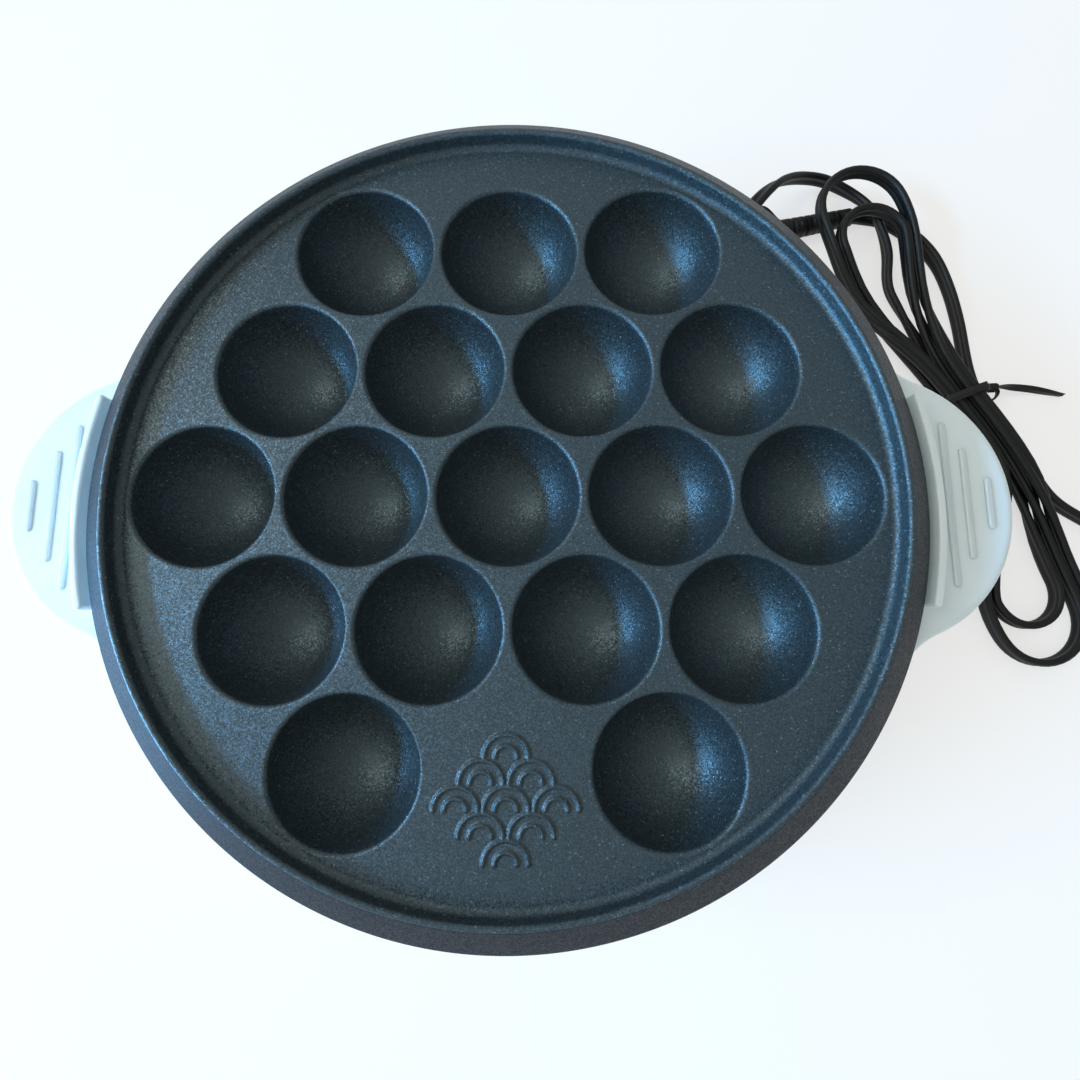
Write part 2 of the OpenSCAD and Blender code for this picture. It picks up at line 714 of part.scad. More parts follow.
function route_length(route, i = 1) = i == len(route) ? 0
    : norm(slice3(route[i]) - slice3(route[i - 1])) + route_length(route, i + 1);
hank_corners = [for (i = [0:len(hank_route) - 1]) ring(hank_route, i, oval6, cord_w, cord_t)];
hank_gap = min([for (i = [0:len(hank_corners) - 1], j = [i + 5:1:len(hank_corners) - 1])
    if (norm(hank_corners[i][0] - hank_corners[j][0]) < 30)
        min([for (p = hank_corners[i], q = hank_corners[j]) norm(p - q)])]);
echo(cord_length = route_length(lead_route) + route_length(hank_route) + route_length(tail_route));
echo(hank_gap = hank_gap);

// ---- tie and plug
tie_place = -2.5;
tie_w = 3;
tie_t = 0.7;
tie_round = 1.5;
tie_corners = [[-6, 2.3], [-6, 9.2], [1, 11.7], [6, 11.4], [9.4, 5.6], [9.4, 2.3]];
tie_knot = [180.6, 54, 5.4];
tie_tail_route = [[180.6, 54, 5.4, 90], [185, 54.6, 5, 60], [190, 55.2, 4.2, 0], [197, 55.4, 2.9, -40],
    [205, 54.6, 1.9, -70], [212.4, 53.2, 1.5, -90]];

module tie_outline(grow) {
    hull() for (corner = tie_corners) translate(corner) circle(tie_round + grow, $fn = 16);
}

module cord_tie() {
    color("#161718") {
        translate([each hank_mid, 0]) around(hank_axis) translate([tie_place - tie_w / 2, 0, 0])
            rotate([90, 0, 90]) linear_extrude(tie_w) difference() {
                tie_outline(tie_t);
                tie_outline(0);
            }
        translate(tie_knot) sphere(2, $fn = 16);
        tube(tie_tail_route, oval6, 2.6, 0.9);
    }
}

module at_plug() {
    translate([each plug_tip, 0]) around(plug_angle) children();
}

module plug_body() {
    color("#1b1c1d") at_plug() {
        translate([0, 0, plug_tip_z]) rotate([0, plug_tilt - 90, 0])
            cylinder(r1 = relief_r[0], r2 = relief_r[1], h = relief_l + 1);
        hull() for (end = [[0, body_w - 8], [6, body_w], [body_l - 1, body_w]])
            translate([-relief_l - end[0] - 1, -end[1] / 2, 0]) cube([1, end[1], body_t]);
    }
}

module plug_pins() {
    color("#c9b98a") at_plug() for (y = [-pin_gap / 2, pin_gap / 2])
        translate([-relief_l - body_l - pin_l, y - 0.75, body_t / 2 - 3.15]) cube([pin_l, 1.5, 6.3]);
}

plate();
base_shell();
handle_left();
handle_right();
handle_screws();
reflector_pan();
pan_screws();
heater();
heater_pins();
heater_clips();
thermostat();
thermostat_bracket();
thermal_fuse();
fuse_clip();
grommet();
terminal_block();
wire_fuse();
wire_thermostat();
wire_heater_live();
wire_heater_neutral();
bottom_cover();
foot(225);  // foot_front_left
foot(315);  // foot_front_right
foot(135);  // foot_back_left
foot(45);  // foot_back_right
foot_screws();
cord_boot();
cord_inner();
cord_clamp();
clamp_screws();
cord_lead();
cord_hank();
cord_tail();
cord_tie();
plug_body();
plug_pins();
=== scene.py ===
import json
import math
import bmesh
import bpy
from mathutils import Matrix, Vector, geometry


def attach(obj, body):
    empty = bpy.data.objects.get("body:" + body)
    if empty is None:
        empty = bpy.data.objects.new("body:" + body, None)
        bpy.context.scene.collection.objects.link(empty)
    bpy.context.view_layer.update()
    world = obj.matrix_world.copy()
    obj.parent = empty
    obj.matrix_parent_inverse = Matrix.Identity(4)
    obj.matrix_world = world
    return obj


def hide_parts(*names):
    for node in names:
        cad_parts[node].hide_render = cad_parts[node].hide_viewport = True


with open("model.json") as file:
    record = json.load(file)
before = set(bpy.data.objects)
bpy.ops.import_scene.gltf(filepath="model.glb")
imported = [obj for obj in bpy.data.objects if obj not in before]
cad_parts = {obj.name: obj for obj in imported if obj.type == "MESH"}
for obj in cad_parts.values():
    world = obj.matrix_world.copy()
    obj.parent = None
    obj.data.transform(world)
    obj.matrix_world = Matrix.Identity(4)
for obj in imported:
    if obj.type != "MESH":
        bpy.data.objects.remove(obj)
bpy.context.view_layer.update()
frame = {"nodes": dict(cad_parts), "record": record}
mm = 0.001


def linear(hexColour):
    parts = [int(hexColour[i:i + 2], 16) / 255 for i in (1, 3, 5)]
    return tuple(c / 12.92 if c <= 0.04045 else ((c + 0.055) / 1.055) ** 2.4 for c in parts) + (1,)


def newMaterial(name, **shader):
    material = bpy.data.materials.new(name)
    material.use_nodes = True
    principled = material.node_tree.nodes["Principled BSDF"]
    for key, value in shader.items():
        principled.inputs[key].default_value = value
    return material, material.node_tree, principled


def addNode(tree, kind, links=(), **settings):
    # links go from an output to an input of the new node, settings are its properties or input values
    node = tree.nodes.new(kind)
    for key, value in settings.items():
        if hasattr(node, key) and key not in node.inputs:
            setattr(node, key, value)
        else:
            node.inputs[key].default_value = value
    for source, target in links:
        tree.links.new(source, node.inputs[target])
    return node


def meshPiece(name, points, faces, smoothAngle=35):
    # points are in millimetres, the piece in metres
    mesh = bpy.data.meshes.new(name)
    mesh.from_pydata([tuple(c * mm for c in p) for p in points], [], faces)
    mesh.validate()
    work = bmesh.new()
    work.from_mesh(mesh)
    bmesh.ops.remove_doubles(work, verts=work.verts, dist=2e-6)
    bmesh.ops.recalc_face_normals(work, faces=work.faces)
    work.to_mesh(mesh)
    work.free()
    mesh.polygons.foreach_set("use_smooth", [True] * len(mesh.polygons))
    mesh.set_sharp_from_angle(angle=math.radians(smoothAngle))
    piece = bpy.data.objects.new(name, mesh)
    bpy.context.scene.collection.objects.link(piece)
    return piece


def smooth(x):
    c = min(max(x, 0), 1)
    return c * c * (3 - 2 * c)


def mix(a, b, x):
    return a + (b - a) * x


# camera, floor and light
view = {"place": (0.008562, -0.03314, 0.21167), "turn": (0.140, 0, -0.003), "lens": 18.776}
cameraData = bpy.data.cameras.new("camera")
cameraData.lens = view["lens"]
cameraData.sensor_width = 36
cameraData.clip_start = 0.005
camera = bpy.data.objects.new("camera", cameraData)
camera.location = view["place"]
camera.rotation_euler = view["turn"]
bpy.context.scene.collection.objects.link(camera)
bpy.context.scene.camera = camera
bpy.context.scene.view_settings.view_transform = "Standard"

# heights and sides are how far up and to the right a look goes while the room's tone changes
studio = {"floor": "#fdfaf4", "lift": 0.6, "horizon": "#e0e2e0", "zenith": "#d0d3d2", "heights": (0.1, 0.4),
    "sides": (-0.5, 0.7), "farSide": 0.55}
# the window stands low on the left, so that each well's far wall is lit and its near wall stays dark
lamps = {
    "windowKey": {"place": (-2.1, -0.3, 1.17), "aim": (0, 0, 0.05), "size": (1.4, 0.2), "watts": 64,
        "tint": "#7ec6ff"},
    "ceilingSoft": {"place": (-1.7, 0.3, 2.1), "aim": (0, 0, 0.05), "size": (1.1, 1.1), "watts": 16,
        "tint": "#fbfffb"},
    "tableGlow": {"place": (-0.69, -0.22, 0.08), "aim": (0, 0, 0.06), "size": (0.5, 0.08), "watts": 9,
        "tint": "#7ec6ff"},
}
for name, lamp in lamps.items():
    data = bpy.data.lights.new(name, "AREA")
    data.shape = "RECTANGLE"
    data.size, data.size_y = lamp["size"]
    data.energy = lamp["watts"]
    data.color = linear(lamp["tint"])[:3]
    light = bpy.data.objects.new(name, data)
    light.location = lamp["place"]
    light.rotation_euler = (Vector(lamp["aim"]) - Vector(lamp["place"])).to_track_quat("-Z", "Y").to_euler()
    bpy.context.scene.collection.objects.link(light)

# the room is pale round the horizon, a little dimmer overhead and much dimmer away from the window
world = bpy.data.worlds.new("softRoom")
world.use_nodes = True
bpy.context.scene.world = world
tree = world.node_tree
tree.nodes.clear()
direction = addNode(tree, "ShaderNodeSeparateXYZ", [(addNode(tree, "ShaderNodeTexCoord").outputs["Generated"], 0)])
height = addNode(tree, "ShaderNodeMapRange", [(direction.outputs["Z"], "Value")], interpolation_type="SMOOTHSTEP")
height.inputs["From Min"].default_value, height.inputs["From Max"].default_value = studio["heights"]
sky = addNode(tree, "ShaderNodeMix", [(height.outputs[0], "Factor")], data_type="RGBA")
sky.inputs[6].default_value, sky.inputs[7].default_value = linear(studio["horizon"]), linear(studio["zenith"])
across = addNode(tree, "ShaderNodeMapRange", [(direction.outputs["X"], "Value")], interpolation_type="SMOOTHSTEP")
across.inputs["From Min"].default_value, across.inputs["From Max"].default_value = studio["sides"]
across.inputs["To Min"].default_value, across.inputs["To Max"].default_value = 1, studio["farSide"]
room = addNode(tree, "ShaderNodeBackground", [(sky.outputs[2], "Color"), (across.outputs[0], "Strength")])
addNode(tree, "ShaderNodeOutputWorld", [(room.outputs[0], "Surface")])

floorPiece = meshPiece("floor", [(x * 4000, y * 4000, 0) for x, y in ((-1, -1), (1, -1), (1, 1), (-1, 1))],
    [(0, 1, 2, 3)])
paper, tree, principled = newMaterial("seamlessPaper", Roughness=0.9)
principled.inputs["Base Color"].default_value = linear(studio["floor"])
white = addNode(tree, "ShaderNodeEmission", Color=linear("#ffffff"), Strength=1)
# only what the camera, gloss or glass sees of the paper is lifted towards white, so the shadow stays
rays = addNode(tree, "ShaderNodeLightPath")
direct = addNode(tree, "ShaderNodeMath", [(rays.outputs["Is Camera Ray"], 0), (rays.outputs["Is Glossy Ray"], 1)],
    operation="MAXIMUM")
looked = addNode(tree, "ShaderNodeMath", [(direct.outputs[0], 0), (rays.outputs["Is Transmission Ray"], 1)],
    operation="MAXIMUM")
share = addNode(tree, "ShaderNodeMath", [(looked.outputs[0], 0)], operation="MULTIPLY")
share.inputs[1].default_value = studio["lift"]
lifted = addNode(tree, "ShaderNodeMixShader", [(share.outputs[0], 0), (principled.outputs[0], 1),
    (white.outputs[0], 2)])
tree.links.new(lifted.outputs[0], tree.nodes["Material Output"].inputs["Surface"])
floorPiece.data.materials.append(paper)
print("camera, floor and light are set")

# cord: flat twin flex from the boot, folded in a tied hank, and back round to the plug, in millimetres
flex = {"width": 5.6, "thick": 2.8, "angle": 54, "height": 16, "bootEnd": 139.5, "step": 1.6}
hank = {"mid": (169.3, 47.8), "axis": -70.3, "step": 4.1, "mean": 1.2, "run": 0.38, "top": (-72, -72, -84, -84),
    "bottom": (74, 84, 84), "straight": (-70, 72), "waist": 3.4, "waistLift": 0.3, "rest": 0.1,
    "topHalf": 13.6, "bottomHalf": 15, "crossing": 9.4}


def bell(x):
    return math.exp(-x * x)


def turned(x, y, degrees):
    c, s = math.cos(math.radians(degrees)), math.sin(math.radians(degrees))
    return x * c - y * s, x * s + y * c


def outlet(along):
    # a place on the boot's axis, the flex lies flat there
    return (*turned(along, 0, flex["angle"]), flex["height"], 0)


def hankHalf(s):
    if s < 0:
        return mix(hank["waist"], hank["topHalf"], smooth((-s - 14) / 56))
    return mix(hank["waist"], hank["bottomHalf"], smooth((s - 30) / 42))


def hankTilt(s):
    return 90 * (1 - smooth((hankHalf(s) - hank["waist"]) / 7.5))


def hankPlace(s, t, u, at):
    # the middle line of the hank bows to one side and the other and hooks over at both ends
    tilt = math.radians(hankTilt(at))
    centre = (6 * bell((at - 28) / 24) - 8.5 * bell((at + 50) / 36) - 3.5 * smooth((-at - 60) / 25)
        - 7 * smooth((at - 36) / 36))
    ground = hank["rest"] + hank["crossing"] * smooth((-at - 35) / 45) + hank["waistLift"] * bell(at / 12)
    height = (ground + u * hank["step"] * math.sin(tilt) + flex["width"] / 2 * math.cos(tilt)
        + flex["thick"] / 2 * math.sin(tilt))
    x, y = turned(s, t + centre, hank["axis"])
    return hank["mid"][0] + x, hank["mid"][1] + y, height, 90 - hankTilt(at)


def hankWidth(s, u):
    return hankHalf(s) + (u - hank["mean"]) * hank["step"] * math.cos(math.radians(hankTilt(s)))


def hankSlide(start, end, x):
    first, last = hank["straight"] if start < end else hank["straight"][::-1]
    if x < 1:
        return mix(start, first, x)
    return mix(first, last, (x - 1) / 5) if x < 6 else mix(last, end, x - 6)


def hankAt(u):
    turn = min(int(u), 2)
    f, run = u - turn, hank["run"]
    low, high = hank["bottom"][turn], hank["top"][turn + 1]
    if f < run:
        s = hankSlide(hank["top"][turn], low, 7 * f / run)
        return hankPlace(s, hankWidth(s, u), u, s)
    if f < 0.5:
        a, r = math.pi * (f - run) / (0.5 - run), hankWidth(low, u)
        return hankPlace(low + r * math.sin(a), r * math.cos(a), u, low)
    if f < 0.5 + run:
        s = hankSlide(low, high, 7 * (f - 0.5) / run)
        return hankPlace(s, -hankWidth(s, u), u, s)
    a, r = math.pi * (f - 0.5 - run) / (0.5 - run), hankWidth(high, u)
    return hankPlace(high - r * math.sin(a), -r * math.cos(a), u, high)


def splinePoints(route, before, after, step):
    # a smooth line through the route's points, with the roll carried along
    line = [before, *route, after]
    out = []
    for i in range(1, len(line) - 2):
        a, b, c, d = (Vector(p) for p in line[i - 1:i + 3])
        count = max(2, round((c - b).to_3d().length / step))
        for k in range(count):
            x = k / count
            out.append(tuple(0.5 * (2 * b + (c - a) * x + (2 * a - 5 * b + 4 * c - d) * x * x
                + (3 * b - a - 3 * c + d) * x ** 3)))
    return out + [tuple(line[-2])]


def sweep(route, section, width, thick):
    # the section is in half widths and half thicknesses, roll 0 lies flat and 90 stands on edge
    points, faces, k = [], [], len(section)
    for i, place in enumerate(route):
        ahead = Vector(route[min(i + 1, len(route) - 1)][:3]) - Vector(route[max(i - 1, 0)][:3])
        ahead.normalize()
        left = Vector((0, 0, 1)).cross(ahead).normalized()
        roll = math.radians(place[3])
        thin = math.cos(roll) * ahead.cross(left) + math.sin(roll) * left
        wide = ahead.cross(thin)
        for a, b in section:
            points.append(Vector(place[:3]) + wide * a * width / 2 + thin * b * thick / 2)
    for i in range(len(route) - 1):
        for j in range(k):
            a, b = i * k + j, i * k + (j + 1) % k
            faces.append((a, b, b + k, a + k))
    faces.append(tuple(range(k)))
    faces.append(tuple(range(len(points) - k, len(points))))
    return points, faces


def twinSection():
    # two round cores side by side with a groove between them
    arc = [(0.5 + 0.5 * math.cos(math.radians(a)), math.sin(math.radians(a))) for a in range(-140, 141, 28)]
    return arc + [(-x, -y) for x, y in arc]


def hankMarks():
    # the marks of the CAD's rings with three more between each two
    run, out = hank["run"], []
    for half in range(6):
        for i in range(48):
            k = i / 4
            f = run * k / 7 if k < 7 else run + (0.5 - run) * (k - 7) / 5
            out.append(half / 2 + f)
    return [u for u in out if 2 / 7 * run - 1e-6 < u < 2 + run - 1e-6] + [2 + run]


def onward(a, b, distance):
    # from a, away from b by this distance, keeping the roll of a
    way = (Vector(a[:3]) - Vector(b[:3])).normalized()
    return (*(Vector(a[:3]) + way * distance), a[3])


def eased(line, times):
    # rounds the corners that are left in a line, its two ends stay
    for _ in range(times):
        line = ([line[0]] + [tuple((p + 2 * q + r) / 4 for p, q, r in zip(a, b, c))
            for a, b, c in zip(line, line[1:], line[2:])] + [line[-1]])
    return line


hankLine = [hankAt(u) for u in hankMarks()]
coarse = [hankAt(2 / 7 * hank["run"]), hankAt(3 / 7 * hank["run"]), hankAt(2 + 6 / 7 * hank["run"]),
    hankAt(2 + hank["run"])]
hankStart = onward(coarse[0], coarse[1], flex["width"])
hankEnd = onward(coarse[3], coarse[2], flex["width"])
leadRoute = [outlet(flex["bootEnd"]), outlet(flex["bootEnd"] + 5), (89, 121.5, 16.4, 15), (95, 128.5, 16, 35),
    (101, 134.5, 14, 60), (108, 139.5, 10.5, 80), (116, 142.8, 7, 90), (124, 143.4, 5, 90), (131, 141, 4.1, 85),
    (138, 136, 4.4, 70), (142.5, 129.5, 5.9, 60), (145, 122.5, 5.9, 60), (146.4, 115.5, 6, 75), (146.8, 108, 6, 85),
    (146.2, 101, 5.3, 80), onward(hankStart, coarse[1], 4), hankStart]
tailRoute = [hankEnd, onward(hankEnd, coarse[2], 4), (216, -37, 2.8, 90), (223, -46, 2.8, 90),
    (234, -51.5, 2.8, 90), (246, -50.5, 2.8, 90), (255, -42, 2.8, 90), (257, -30, 2.8, 90), (250, -18.5, 2.8, 90),
    (239, -11, 2.8, 90), (227, -5, 2.8, 90), (215, 2, 2.8, 90), (202, 11, 2.8, 90), (194.5, 23.5, 2.8, 90),
    (187.5, 35.5, 2.8, 90), (181, 45.5, 3.7, 90), (177, 53, 3.8, 90), (175.4, 61, 3.4, 90), (175, 70, 2.8, 90),
    (174.2, 82.5, 2.8, 90), (172, 96.5, 2.8, 90), (167.8, 109, 2.9, 80), (160.8, 118.8, 2.6, 45),
    (152.5, 126, 1.5, 5), (146, 128.6, 1.45, 0), (141.5, 129, 1.5, 0), (138, 128.8, 2.6, 0), (134.8, 128.2, 3.4, 0)]
cordLine = eased(splinePoints(leadRoute, outlet(flex["bootEnd"] - 5.5), hankLine[0], flex["step"]) + hankLine
    + splinePoints(tailRoute, hankLine[-1], (131, 127.6, 3.6, 0), flex["step"]), 4)
cordFlex = meshPiece("cordFlex", *sweep(cordLine, twinSection(), flex["width"], flex["thick"]), 60)
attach(cordFlex, "base")
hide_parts("cord_lead", "cord_hank", "cord_tail")
print("the cord lies in its hank")

# plate: one casting, its face flat between the wells, its rim turned up and over
cast = {"radius": 115.5, "face": 64, "rim": 5, "rimWall": 104.2, "slope": 42, "skirt": 2.5, "thick": 3.5,
    "pitch": 41, "well": 19.1, "edge": 1.1, "wall": 2.5, "aroundWell": 96, "aroundRim": 288}
waves = {"y": -78, "fan": 5.6, "inner": 2.8, "pitch": 6.3, "ridge": 0.6, "soft": 0.95, "grid": 0.24,
    "box": (-19.5, 19.5, -94.2, -60.4)}
wellPlaces = [((i - (count - 1) / 2) * cast["pitch"], row * cast["pitch"] * math.sqrt(3) / 2)
    for row, count in ((2, 3), (1, 4), (0, 5), (-1, 4), (-2, 3)) for i in range(count)]
# the front row has no well in its middle, the waves are there
wellPlaces = [w for w in wellPlaces if not (w[1] < -60 and abs(w[0]) < 1)]


def arcPoints(x, y, radius, start, end, count):
    return [(x + radius * math.cos(math.radians(mix(start, end, i / count))),
        y + radius * math.sin(math.radians(mix(start, end, i / count)))) for i in range(count + 1)]


def addLoop(line, z, points):
    # adds a level line of points and returns their numbers
    start = len(points)
    points += [(x, y, z) for x, y in line]
    return list(range(start, len(points)))


def addCircle(x, y, z, radius, count, points):
    return addLoop([(x + radius * math.cos(2 * math.pi * k / count), y + radius * math.sin(2 * math.pi * k / count))
        for k in range(count)], z, points)


def bridge(rings, faces):
    # joins each ring of points to the next with a band of faces
    for lower, upper in zip(rings, rings[1:]):
        n = len(lower)
        for i in range(n):
            j = (i + 1) % n
            faces.append((lower[i], lower[j], upper[j], upper[i]))


def closeRings(rings, faces):
    bridge(rings, faces)
    faces.append(tuple(rings[0]))
    faces.append(tuple(rings[-1]))


def fillFlat(loops, points, faces, inside=None):
    # triangles within closed loops of points at one height, where inside() holds for their middle
    order = [i for loop in loops for i in loop]
    edges, first = [], 0
    for loop in loops:
        edges += [(first + i, first + (i + 1) % len(loop)) for i in range(len(loop))]
        first += len(loop)
    flat = [Vector(points[i][:2]) for i in order]
    found = geometry.delaunay_2d_cdt(flat, edges, [], 0 if inside else 1, 1e-4)
    for triangle in found[2]:
        middle = sum((found[0][i] for i in triangle), Vector((0, 0))) / len(triangle)
        if not inside or inside(middle.x, middle.y):
            faces.append(tuple(order[found[3][i][0]] for i in triangle))


def waveHeight(x, y):
    # soft ridges, two half rings in each wave and one, two or three waves to a row
    best = 9
    for row in range(-2, 3):
        for i in range(3 - abs(row)):
            dx = x - (i - (2 - abs(row)) / 2) * 2 * waves["pitch"]
            dy = y - (waves["y"] + row * waves["pitch"] - 2)
            if abs(dx) < 8 and -2 < dy < 8:
                for r in (waves["fan"], waves["inner"]):
                    away = abs(math.hypot(dx, dy) - r) if dy > 0 else math.hypot(abs(dx) - r, dy)
                    best = min(best, away)
    return waves["ridge"] * math.cos(math.pi / 2 * min(best / waves["soft"], 1)) ** 2


def rimProfile():
    # from the flat face up the inner wall, over the crest and down the slope and the skirt, then back underneath
    face, top, r, s = cast["face"], cast["rim"] - 1, cast["rimWall"], cast["slope"]
    lean, drop = math.cos(math.radians(s)), math.sin(math.radians(s))
    crest = (r + 1, top)
    start = (crest[0] + drop, top + lean)
    shoulder = cast["radius"] - cast["skirt"]
    run = (shoulder + cast["skirt"] * drop - start[0]) / lean
    end = (start[0] + run * lean, start[1] - run * drop)
    mid = (end[0] - cast["skirt"] * drop, end[1] - cast["skirt"] * lean)
    inner = (start[0] - cast["skirt"] * drop, start[1] - cast["skirt"] * lean)
    under = inner[1] - (r + 2.7 - inner[0]) * drop / lean
    line = [(r - 1.83, 0)] + arcPoints(r - 1.8, 1.8, 1.8, -90, 0, 8) + [(r, 2.4), (r, top - 0.4)]
    line += arcPoints(*crest, 1, 180, 90 - s, 10)
    line += [(start[0] + 0.4 * lean, start[1] - 0.4 * drop), (end[0] - 0.4 * lean, end[1] + 0.4 * drop)]
    line += arcPoints(*mid, cast["skirt"], 90 - s, 0, 8) + [(cast["radius"], mid[1] - 0.4),
        (cast["radius"], -7.4)]
    line += arcPoints(cast["radius"] - 1.25, -7.75, 1.25, 0, -180, 12) + [(shoulder, -7.4), (shoulder, mid[1] - 0.6)]
    line += [(112.6, mid[1] + 0.15), (107.6, under + 0.35)] + arcPoints(107.4, under - 0.5, 0.5, 90, 180, 4)
    line += [(106.9, -2.6)] + arcPoints(107.3, -2.6, 0.4, 180, 270, 3) + [(107.7, -3)]
    line += arcPoints(107.6, -3.4, 0.4, 90, 0, 3) + [(108, -8.1)] + arcPoints(107.6, -8.1, 0.4, 0, -90, 3)
    line += arcPoints(105.8, -8.1, 0.4, -90, -180, 3) + [(105.4, -4.3)] + arcPoints(104.6, -4.3, 0.8, 0, 90, 4)
    line += [(104.2, -3.5)]
    return [(a, face + b) for a, b in line]


def wellRings(x, y, points, faces):
    # the rounded edge and the half-round hollow of one well, returns its outermost ring
    radius, edge = cast["well"], cast["edge"]
    line = [(radius + edge + 0.14, 0)]
    line += [(radius + edge - a, b - edge) for a, b in arcPoints(0, 0, edge, 90, 0, 6)]
    line += [(a, b - edge) for a, b in arcPoints(0, 0, radius, 0, -88, 22)[1:]]
    rings = [addCircle(x, y, cast["face"] + z, r, cast["aroundWell"], points) for r, z in line]
    bridge(rings, faces)
    faces.append(tuple(rings[-1]))
    return rings[0]


def bowlRings(x, y, points, faces):
    # the outside of one bowl, cut where it runs into its neighbours, returns its open edge
    n, rings, outer = cast["aroundWell"], [], cast["well"] + cast["wall"]
    dip = cast["thick"] - cast["edge"]
    mouth, half = math.sqrt(outer ** 2 - dip ** 2), cast["pitch"] / 2
    meet = math.degrees(math.acos(half / mouth))
    near = [round(math.degrees(math.atan2(b - y, a - x))) for a, b in wellPlaces
        if 1 < math.hypot(a - x, b - y) < cast["pitch"] + 1]
    for i in range(15):
        rings.append(list(range(len(points), len(points) + n)))
        for k in range(n):
            angle = 360 * k / n
            reach = mouth
            for side in near:
                off = (angle - side + 180) % 360 - 180
                if abs(abs(off) - 18.75) < 0.1:
                    angle = side + math.copysign(meet, off)
                elif abs(off) < 18:
                    reach = half / math.cos(math.radians(off))
            r = reach * math.sin(math.pi / 2 * (0.02 + 0.98 * i / 14))
            points.append((x + r * math.cos(math.radians(angle)), y + r * math.sin(math.radians(angle)),
                cast["face"] - cast["edge"] - math.sqrt(outer ** 2 - r ** 2)))
    bridge(rings, faces)
    faces.append(tuple(rings[0]))
    return rings[-1]


def buildPlate():
    points, faces = [], []
    rim = [addCircle(0, 0, z, r, cast["aroundRim"], points) for r, z in rimProfile()]
    bridge(rim, faces)
    mouths = [wellRings(x, y, points, faces) for x, y in wellPlaces]
    x0, x1, y0, y1 = waves["box"]
    nx, ny = round((x1 - x0) / waves["grid"]), round((y1 - y0) / waves["grid"])
    first = len(points)
    for j in range(ny + 1):
        for i in range(nx + 1):
            x, y = mix(x0, x1, i / nx), mix(y0, y1, j / ny)
            points.append((x, y, cast["face"] + waveHeight(x, y)))
    for j in range(ny):
        for i in range(nx):
            a = first + j * (nx + 1) + i
            faces.append((a, a + 1, a + nx + 2, a + nx + 1))
    frameLoop = ([first + i for i in range(nx)] + [first + j * (nx + 1) + nx for j in range(ny)]
        + [first + ny * (nx + 1) + i for i in range(nx, 0, -1)] + [first + j * (nx + 1) for j in range(ny, 0, -1)])
    openings = cast["well"] + cast["edge"] + 0.13

    def onFace(x, y):
        if x0 < x < x1 and y0 < y < y1:
            return False
        return all(math.hypot(x - a, y - b) > openings for a, b in wellPlaces)

    fillFlat([rim[0], frameLoop] + mouths, points, faces, onFace)
    outer = cast["well"] + cast["wall"]
    mouth = math.sqrt(outer ** 2 - (cast["thick"] - cast["edge"]) ** 2)
    edges = [bowlRings(x, y, points, faces) for x, y in wellPlaces]
    # the bowls share points where they meet, so their outer loops are taken only where they are on the flat underside
    seen, flatEdges, flatPoints = {}, [], []

    def shared(i):
        key = tuple(round(c * 50) for c in points[i][:2])
        for dx in (-1, 0, 1):
            for dy in (-1, 0, 1):
                if (key[0] + dx, key[1] + dy) in seen:
                    return seen[(key[0] + dx, key[1] + dy)]
        seen[key] = len(flatPoints)
        flatPoints.append(i)
        return seen[key]

    low = cast["face"] - cast["thick"]
    for loop in edges + [rim[-1]]:
        for a, b in zip(loop, loop[1:] + loop[:1]):
            if abs(points[a][2] - low) < 0.01 and abs(points[b][2] - low) < 0.01:
                flatEdges.append((shared(a), shared(b)))
    found = geometry.delaunay_2d_cdt([Vector(points[i][:2]) for i in flatPoints], flatEdges, [], 0, 1e-4)
    for triangle in found[2]:
        middle = sum((found[0][i] for i in triangle), Vector((0, 0))) / len(triangle)
        if all(math.hypot(middle.x - a, middle.y - b) > mouth * math.cos(math.radians(1.9)) for a, b in wellPlaces):
            faces.append(tuple(flatPoints[found[3][i][0]] for i in triangle))
    return points, faces


plateCasting = meshPiece("plateCasting", *buildPlate(), 50)
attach(plateCasting, "plate")
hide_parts("plate")
print("the plate is cast")

# handles: hollow moulded lobes with three raised bars and a heat guard
grip = {"centre": 106.5, "radius": 41, "lobeEnd": 67, "flare": 25, "shoulder": 12, "root": 112.05, "top": 50.8,
    "deep": 11, "round": 3, "wall": 2.4, "guard": (119.1, 1.1, 14.7, 9.4), "bar": (1, 0.7),
    "bars": ((127.8, 48.8), (133.1, 32.8), (139.5, 15.2))}
boss = {"angle": 12, "radius": 3.6, "reach": 12, "bore": 1.6, "boreDeep": 8, "below": 7.4, "around": 24}


def gripOutline(inset, back):
    # the lobe, the hollow flare and the round shoulder that ends on the radius back, all moved in by the inset
    end, flare = grip["lobeEnd"], grip["flare"]
    far = grip["radius"] + flare
    hub = (grip["centre"] + far * math.cos(math.radians(end)), far * math.sin(math.radians(end)))
    turn, near = math.degrees(math.atan2(hub[1], hub[0])), math.hypot(*hub) - flare - grip["shoulder"]
    h = grip["shoulder"] - inset
    bend = math.degrees(math.acos((back ** 2 - near ** 2 - h ** 2) / (2 * near * h)))
    mid = (near * math.cos(math.radians(turn)), near * math.sin(math.radians(turn)))
    half = arcPoints(grip["centre"], 0, grip["radius"] - inset, 0, end, 26)
    half += arcPoints(*hub, flare + inset, end + 180, turn + 180, 10)[1:]
    half += arcPoints(*mid, h, turn, turn + bend, 9)[1:]
    return [(x, -y) for x, y in half[:0:-1]] + half


def rootArc(line, radius, count=30):
    # points along the shell from the outline's last point back to its first
    a, b = (math.degrees(math.atan2(y, x)) for x, y in (line[-1], line[0]))
    return arcPoints(0, 0, radius, a, b, count)


